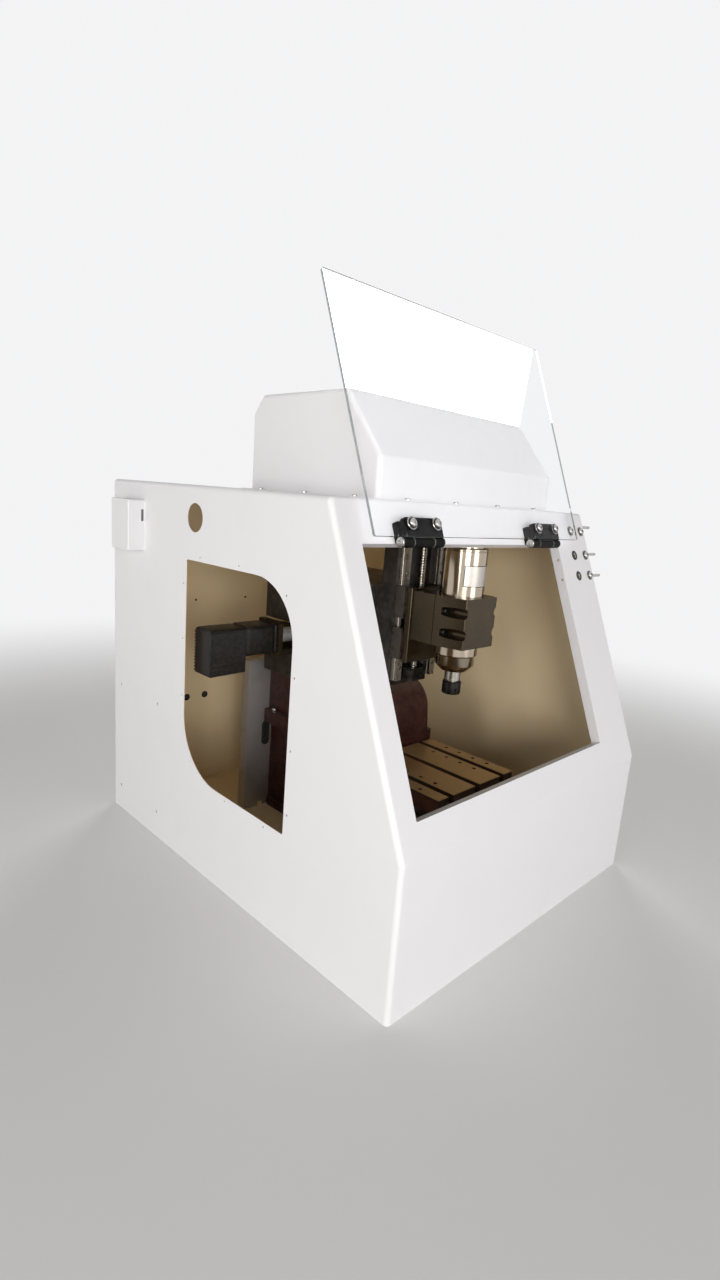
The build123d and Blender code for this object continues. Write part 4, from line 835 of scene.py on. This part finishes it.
def pick(*objects):
    """Select these objects alone, the first one active."""
    bpy.ops.object.select_all(action="DESELECT")
    for obj in objects:
        obj.select_set(True)
    bpy.context.view_layer.objects.active = objects[0]


def newest(name, material):
    """Name the primitive just added and give it its material."""
    obj = bpy.context.active_object
    obj.name = name
    obj.data.name = name
    obj.data.materials.append(material)
    return obj


def applied(obj, kind, **settings):
    """Add a modifier with these settings and apply it."""
    modifier = obj.modifiers.new(kind.lower(), kind)
    for key, value in settings.items():
        setattr(modifier, key, value)
    pick(obj)
    bpy.ops.object.modifier_apply(modifier=modifier.name)


def in_edit(obj):
    """Enter edit mode on one object with nothing selected."""
    pick(obj)
    bpy.ops.object.mode_set(mode="EDIT")
    bpy.ops.mesh.select_all(action="DESELECT")


def out_of_edit():
    bpy.ops.object.mode_set(mode="OBJECT")


def settle(obj):
    """Put a finished piece's place into its mesh."""
    pick(obj)
    bpy.ops.object.transform_apply(location=True, rotation=True, scale=True)


def joined(pieces):
    """Several pieces made one mesh, under the first one's name."""
    pick(*pieces)
    bpy.ops.object.join()
    return pieces[0]


def lit_from_round(obj, degrees):
    """Shade smooth where faces meet at less than this angle."""
    pick(obj)
    bpy.ops.object.shade_smooth_by_angle(angle=math.radians(degrees))


# Studio


def seen_ray(n):
    """1 for rays from the camera and for rays that metal and glass send on."""
    path = n.add("ShaderNodeLightPath")
    seen = n.math("MAXIMUM", path.outputs["Is Camera Ray"], path.outputs["Is Glossy Ray"])
    return n.math("MAXIMUM", seen, path.outputs["Is Transmission Ray"])


def stage_floor():
    """A pale floor that fades into the backdrop away from the machine and keeps its shadow."""
    bpy.ops.mesh.primitive_circle_add(vertices=96, radius=floor_radius, fill_type="NGON", location=(0, 0, 0))
    floor = bpy.context.active_object
    floor.name = "floor"
    material = bpy.data.materials.new("floor")
    material.use_nodes = True
    n = Nodes(material.node_tree)
    near = n.tree.nodes["Principled BSDF"]
    near.inputs["Base Color"].default_value = as_colour(floor_tone)
    near.inputs["Roughness"].default_value = 0.75
    far = n.add("ShaderNodeEmission")
    far.inputs["Color"].default_value = as_colour(backdrop_tone)
    length = n.add("ShaderNodeVectorMath", operation="LENGTH")
    n.join(n.place(), length.inputs[0])
    away = n.between(length.outputs["Value"], floor_fade_near, floor_fade_far)
    mix = n.add("ShaderNodeMixShader")
    n.join(n.math("MULTIPLY", away, seen_ray(n)), mix.inputs["Fac"])
    n.join(near.outputs[0], mix.inputs[1])
    n.join(far.outputs[0], mix.inputs[2])
    n.join(mix.outputs[0], n.tree.nodes["Material Output"].inputs["Surface"])
    floor.data.materials.append(material)


def world():
    """Soft light from all round, with the pale backdrop where it is seen."""
    data = bpy.data.worlds.new("world")
    data.use_nodes = True
    bpy.context.scene.world = data
    n = Nodes(data.node_tree)
    light = n.tree.nodes["Background"]
    light.inputs["Color"].default_value = as_colour(sky_tone)
    light.inputs["Strength"].default_value = sky_strength
    shown = n.add("ShaderNodeBackground")
    shown.inputs["Color"].default_value = as_colour(backdrop_tone)
    mix = n.add("ShaderNodeMixShader")
    n.join(seen_ray(n), mix.inputs["Fac"])
    n.join(light.outputs[0], mix.inputs[1])
    n.join(shown.outputs[0], mix.inputs[2])
    n.join(mix.outputs[0], n.tree.nodes["World Output"].inputs["Surface"])


def soft_lamp(name, place, size, watts, tint):
    """A square soft box aimed at the middle of the machine."""
    data = bpy.data.lights.new(name, "AREA")
    data.shape = "SQUARE"
    data.size = size
    data.energy = watts
    data.color = tint
    obj = bpy.data.objects.new(name, data)
    bpy.context.scene.collection.objects.link(obj)
    obj.location = place
    aim = centre - Vector(place)
    obj.rotation_euler = aim.to_track_quat("-Z", "Y").to_euler()


def studio():
    world()
    stage_floor()
    for lamp in lamps:
        soft_lamp(*lamp)


# New pieces


def softened(obj, width):
    """Break the sharp edges of a piece."""
    applied(obj, "BEVEL", width=width, segments=2, limit_method="ANGLE")


def block(name, material, low, high):
    """A rectangular block between two corners."""
    size = Vector(high) - Vector(low)
    bpy.ops.mesh.primitive_cube_add(size=1.0, location=Vector(low) + size / 2, scale=size)
    piece = newest(name, material)
    settle(piece)
    return piece


def rounded(obj, chosen, width, segments):
    """Round the edges whose two ends pass the test."""
    in_edit(obj)
    mesh = bmesh.from_edit_mesh(obj.data)
    for edge in mesh.edges:
        if chosen(edge.verts[0].co, edge.verts[1].co):
            edge.select_set(True)
    mesh.select_flush_mode()
    bmesh.update_edit_mesh(obj.data)
    bpy.ops.mesh.bevel(offset=width, segments=segments, affect="EDGES")
    out_of_edit()


def drawn(name, material, outline):
    """A piece that holds only a line through the points of an outline, given as (radius, along)."""
    bpy.ops.mesh.primitive_plane_add(size=0.01)
    piece = newest(name, material)
    in_edit(piece)
    bpy.ops.mesh.select_all(action="SELECT")
    bpy.ops.mesh.delete(type="VERT")
    out_of_edit()
    mesh = bmesh.new()
    spots = [mesh.verts.new((radius, 0.0, along)) for radius, along in outline]
    for first, second in zip(spots, spots[1:]):
        mesh.edges.new((first, second))
    mesh.to_mesh(piece.data)
    mesh.free()
    return piece


def stood_at(obj, point, axis):
    """Turn a mesh from Z to an axis and move it to a point."""
    turn = Vector((0, 0, 1)).rotation_difference(Vector(axis)).to_matrix().to_4x4()
    obj.data.transform(Matrix.Translation(point) @ turn)


def turned(name, material, outline, point, axis, sides):
    """A smooth turned piece from its half outline, round an axis through a point."""
    piece = drawn(name, material, outline)
    in_edit(piece)
    bpy.ops.mesh.select_all(action="SELECT")
    bpy.ops.mesh.spin(steps=sides, angle=math.tau, center=(0, 0, 0), axis=(0, 0, 1))
    bpy.ops.mesh.select_all(action="SELECT")
    bpy.ops.mesh.remove_doubles(threshold=weld)
    bpy.ops.mesh.normals_make_consistent(inside=False)
    out_of_edit()
    stood_at(piece, point, axis)
    lit_from_round(piece, turned_angle)
    return piece


def on_slope(across, along, rise):
    """A point of the sloped front: across the machine, up the slope, and off its face."""
    return Vector((across, 0, 0)) + slope_foot + slope_up * along + Vector(door_normal) * rise


def spindle():
    """The turned spindle housing with its groove under the rim, and the rear cap with its fittings."""
    low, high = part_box("spindle_body")
    foot = Vector(((low.x + high.x) / 2, (low.y + high.y) / 2, low.z))
    housing = turned("spindle_housing", chrome, housing_outline, foot, (0, 0, 1), housing_sides)
    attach(housing, "head")
    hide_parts("spindle_body")
    seat = Vector((foot.x, foot.y, high.z))
    pieces = [turned("cap", chrome, cap_outline, seat, (0, 0, 1), cap_sides)]
    for across, back in fitting_places:
        place = seat + Vector((across, back, cap_height))
        pieces.append(turned("fitting", chrome, fitting_outline, place, (0, 0, 1), least_sides))
    place = seat + Vector((*connector_place, cap_height))
    pieces.append(turned("connector", chrome, connector_outline, place, (0, 0, 1), small_sides))
    rear = joined(pieces)
    rear.name = "spindle_rear_cap"
    lit_from_round(rear, turned_angle)
    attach(rear, "head")
    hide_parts("spindle_cap")


def dome_screws(name, node, places, body, shank):
    """Dome head screws with a round socket, over a black ring and a bright washer; the black ring is partly
    a lock washer and partly painted shade round the head.
    """
    pieces = []
    for place in places:
        seat = on_slope(*place)
        head = [(0.0, -shank), (screw_shank, -shank)] + dome_outline
        pieces.append(turned("washer", zinc, washer_outline, seat, door_normal, small_sides))
        # The black ring is partly a lock washer and partly painted shade round the head.
        pieces.append(turned("dark_ring", oxide, dark_ring_outline, seat, door_normal, small_sides))
        pieces.append(turned("dome", zinc, head, seat, door_normal, small_sides))
    screws = joined(pieces)
    screws.name = name
    lit_from_round(screws, plain_angle)
    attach(screws, body)
    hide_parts(node)


def hinge_pin_set():
    """A pin with a hollow cap at each end, for both hinges."""
    low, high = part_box("hinge_pins")
    half = pin_length / 2
    near = [(radius, -half - along) for radius, along in pin_cap_outline]
    far = [(radius, half + along) for radius, along in reversed(pin_cap_outline)]
    pieces = []
    for across in (low.x + half + pin_cap_thick, high.x - half - pin_cap_thick):
        place = Vector((across, hinge_axis[1], hinge_axis[2]))
        pieces.append(turned("pin", zinc, near + far, place, (1, 0, 0), small_sides))
    pins = joined(pieces)
    pins.name = "hinge_pin_set"
    lit_from_round(pins, plain_angle)
    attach(pins, pin_body)
    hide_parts("hinge_pins")


def hole_shade_rings():
    """Black rubber rings in the two holes of the margin that hold no screw: painted shade that makes the
    empty holes read dark.
    """
    shade_rings = []
    for row in margin_rows[1:]:
        seat = on_slope(margin_inner, row, 0)
        shade_rings.append(turned("shade_ring", rubber, shade_ring_outline, seat, door_normal, small_sides))
    shade_ring_set = joined(shade_rings)
    shade_ring_set.name = "hole_shade_rings"
    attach(shade_ring_set, "frame")


def rear_shade_plugs():
    """Dark rubber pieces in the rear panel's holes, seen from inside: painted shade that keeps the holes
    from showing the backdrop.
    """
    shade_plugs = []
    for across, height, radius in shade_plug_places:
        outline = [
            (0.0, 0.0), (radius, 0.0), (radius, shade_plug_rim), (shade_plug_crown * radius, shade_plug_shoulder),
            (0.0, shade_plug_top),
        ]
        place = Vector((across, shade_plugs_from, height))
        shade_plugs.append(turned("shade_plug", rubber, outline, place, (0, -1, 0), least_sides))
    shade_plug_set = joined(shade_plugs)
    shade_plug_set.name = "rear_shade_plugs"
    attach(shade_plug_set, "frame")


def plate_flanges():
    """The edges of the plate behind the column, turned back along its top and its left side."""
    low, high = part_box("back_plate")
    front = high.y - plate_lap
    back = high.y + plate_flange
    top = block("plate_flanges", stainless, (low.x, front, high.z - plate_sheet), (high.x, back, high.z))
    side = block(
        "side_flange", stainless, (low.x, front, low.z),
        (low.x + plate_sheet, back, high.z - side_flange_drop),
    )
    flanges = joined([top, side])
    softened(flanges, flange_edge)
    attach(flanges, "frame")


def along_shaft(first, second):
    """Whether an edge of a motor runs along its shaft."""
    return abs(first.x - second.x) > shaft_run


def shaft_face(low, high, ahead, above):
    """Where a motor's shaft meets its mounting face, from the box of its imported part."""
    face = Vector((0, 0, 0))
    for index in range(3):
        if abs(ahead[index]) > 0.5:
            face[index] = high[index] - pilot_proud if ahead[index] < 0 else low[index] + pilot_proud
        elif abs(above[index]) > 0.5:
            face[index] = high[index] - motor_half if above[index] > 0 else low[index] + motor_half
        else:
            face[index] = (low[index] + high[index]) / 2
    return face


def servo(name, node, out, up, body):
    """A servo motor: flange, body with round long edges, and a drive box with cooling fins on its back."""
    low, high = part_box(node)
    foot = -motor_half - motor_drop
    flange = block("flange", motor, (0.0, -motor_half, -motor_half), (motor_flange, motor_half, motor_half))
    rounded(flange, along_shaft, flange_round, small_steps)
    case = block(
        "case", motor, (motor_flange - motor_overlap, -motor_half, -motor_half),
        (motor_case_end, motor_half, motor_half),
    )
    rounded(case, along_shaft, motor_round, round_steps)
    drive = block(
        "drive", motor, (motor_case_end, fin_depth - motor_half, foot), (motor_end, motor_half, motor_half)
    )
    rounded(drive, lambda a, b: along_shaft(a, b) and a.z > 0, motor_round, round_steps)
    rounded(drive, lambda a, b: along_shaft(a, b) and a.z < -motor_half, drive_foot_round, small_steps)
    rounded(drive, lambda a, b: min(a.x, b.x) > motor_end - end_reach, drive_end_round, end_steps)
    pieces = [flange, case, drive]
    pitch = (2 * motor_half + motor_drop - motor_round) / fin_count
    for step in range(fin_count):
        rise = foot + pitch * (step + 0.5)
        fin = block(
            "fin", motor, (motor_case_end, -motor_half, rise - fin_thick / 2),
            (motor_end - fin_short, fin_depth + fin_root - motor_half, rise + fin_thick / 2),
        )
        softened(fin, fin_edge)
        pieces.append(fin)
    for start, end, rise in ribs:
        rib = block(
            "rib", motor, (start, motor_half - rib_root, rise - rib_half),
            (end, motor_half + rib_proud, rise + rib_half),
        )
        softened(rib, rib_edge)
        pieces.append(rib)
    bpy.ops.mesh.primitive_cylinder_add(
        vertices=small_sides, radius=pilot_radius, depth=pilot_depth,
        location=(pilot_depth / 2 - pilot_proud, 0, 0), rotation=(0, math.pi / 2, 0),
    )
    pilot = newest("pilot", motor)
    settle(pilot)
    pieces.append(pilot)
    unit = joined(pieces)
    unit.name = name
    unit.data.name = name
    ahead = Vector(out)
    above = Vector(up)
    turn = Matrix((ahead, above.cross(ahead), above)).transposed().to_4x4()
    unit.data.transform(Matrix.Translation(shaft_face(low, high, ahead, above)) @ turn)
    lit_from_round(unit, plain_angle)
    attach(unit, body)
    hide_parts(node)


def bent_plate(name, material, radius, foot, top, start, end):
    """A thin plate bent round the spindle, between two heights and two angles."""
    low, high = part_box("spindle_body")
    middle = (low + high) / 2
    bpy.ops.mesh.primitive_cylinder_add(
        vertices=plate_sides, radius=radius, depth=top - foot, end_fill_type="NOTHING",
        location=(middle.x, middle.y, (top + foot) / 2),
    )
    plate = newest(name, material)
    settle(plate)
    in_edit(plate)
    mesh = bmesh.from_edit_mesh(plate.data)
    for face in mesh.faces:
        spot = face.calc_center_median()
        angle = math.degrees(math.atan2(spot.y - middle.y, spot.x - middle.x))
        face.select_set(not start < angle < end)
    bmesh.update_edit_mesh(plate.data)
    bpy.ops.mesh.delete(type="FACE")
    out_of_edit()
    applied(plate, "SOLIDIFY", thickness=plate_thick, offset=-1.0)
    return plate


def spindle_plate():
    """The spindle's bare plate on its dark backing, which shows as a thin rim."""
    backing = bent_plate("spindle_plate", oxide, plate_radius, plate_foot, plate_top, plate_from, plate_to)
    turn = math.degrees(plate_rim / plate_radius)
    face = bent_plate(
        "plate_face", bare, plate_radius + face_proud, plate_foot + plate_rim, plate_top - plate_rim,
        plate_from + turn, plate_to - turn,
    )
    plate = joined([backing, face])
    lit_from_round(plate, plate_angle)
    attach(plate, "head")


def thread_profile():
    """Points across one lead of a ball thread, as (radius, along): land, round groove, land."""
    points = [(screw_radius, 0.0)]
    for step in range(groove_steps + 1):
        angle = math.pi * step / groove_steps
        radius = screw_radius - groove_depth * screw_groove * math.sin(angle)
        points.append((radius, screw_lead / 2 - screw_groove * math.cos(angle)))
    points.append((screw_radius, screw_lead))
    return points


def journal(name, start, length, axis):
    """A turned end of a ball screw with broken edges, along an axis of the machine, from start."""
    along = Vector(axis)
    turn = Vector((0, 0, 1)).rotation_difference(along).to_euler()
    bpy.ops.mesh.primitive_cylinder_add(
        vertices=small_sides, radius=journal_radius, depth=length, location=start + along * (length / 2),
        rotation=turn,
    )
    bar = newest(name, rail_steel)
    settle(bar)
    softened(bar, bar_edge)
    return bar


def ball_screw(name, node, axis, thread_start, thread_end, body, steps):
    """A rolled ball screw: a right hand helix of round grooves between two turned ends."""
    low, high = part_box(node)
    middle = (low + high) / 2
    index = axis.index(1)
    near = low[index]
    far = high[index]
    length = thread_end - thread_start
    turns = math.ceil(length / screw_lead) + 2
    thread = drawn(name, rail_steel, thread_profile())
    applied(
        thread, "SCREW", angle=math.tau, screw_offset=screw_lead, iterations=turns, steps=steps,
        render_steps=steps, use_merge_vertices=True, merge_threshold=weld,
    )
    in_edit(thread)
    bpy.ops.mesh.select_all(action="SELECT")
    bpy.ops.mesh.remove_doubles(threshold=thread_weld)
    cut = {"plane_no": (0, 0, 1), "use_fill": True}
    bpy.ops.mesh.bisect(plane_co=(0, 0, screw_lead), clear_inner=True, **cut)
    bpy.ops.mesh.select_all(action="SELECT")
    bpy.ops.mesh.bisect(plane_co=(0, 0, screw_lead + length), clear_outer=True, **cut)
    bpy.ops.mesh.select_all(action="SELECT")
    bpy.ops.mesh.normals_make_consistent(inside=False)
    out_of_edit()
    thread.data.transform(Matrix.Translation((0, 0, -screw_lead)))
    origin = middle.copy()
    origin[index] = thread_start
    stood_at(thread, origin, axis)
    front = middle.copy()
    front[index] = near
    back = middle.copy()
    back[index] = thread_end
    ends = [
        journal("near_end", front, thread_start - near, axis),
        journal("far_end", back, far - thread_end, axis),
    ]
    screw = joined([thread] + ends)
    lit_from_round(screw, plain_angle)
    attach(screw, body)
    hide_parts(node)


bpy.context.scene.view_settings.view_transform = "Standard"
camera()
studio()
dress_parts()
for entry in threads:
    ball_screw(*entry)
for entry in servos:
    servo(*entry)
spindle_plate()
spindle()
dome_screws("pane_bolts", "door_bolts", bolt_places, "door", bolt_shank)
dome_screws("margin_dome_screws", "margin_screws", margin_places, "frame", margin_shank)
hinge_pin_set()
hole_shade_rings()
rear_shade_plugs()
plate_flanges()
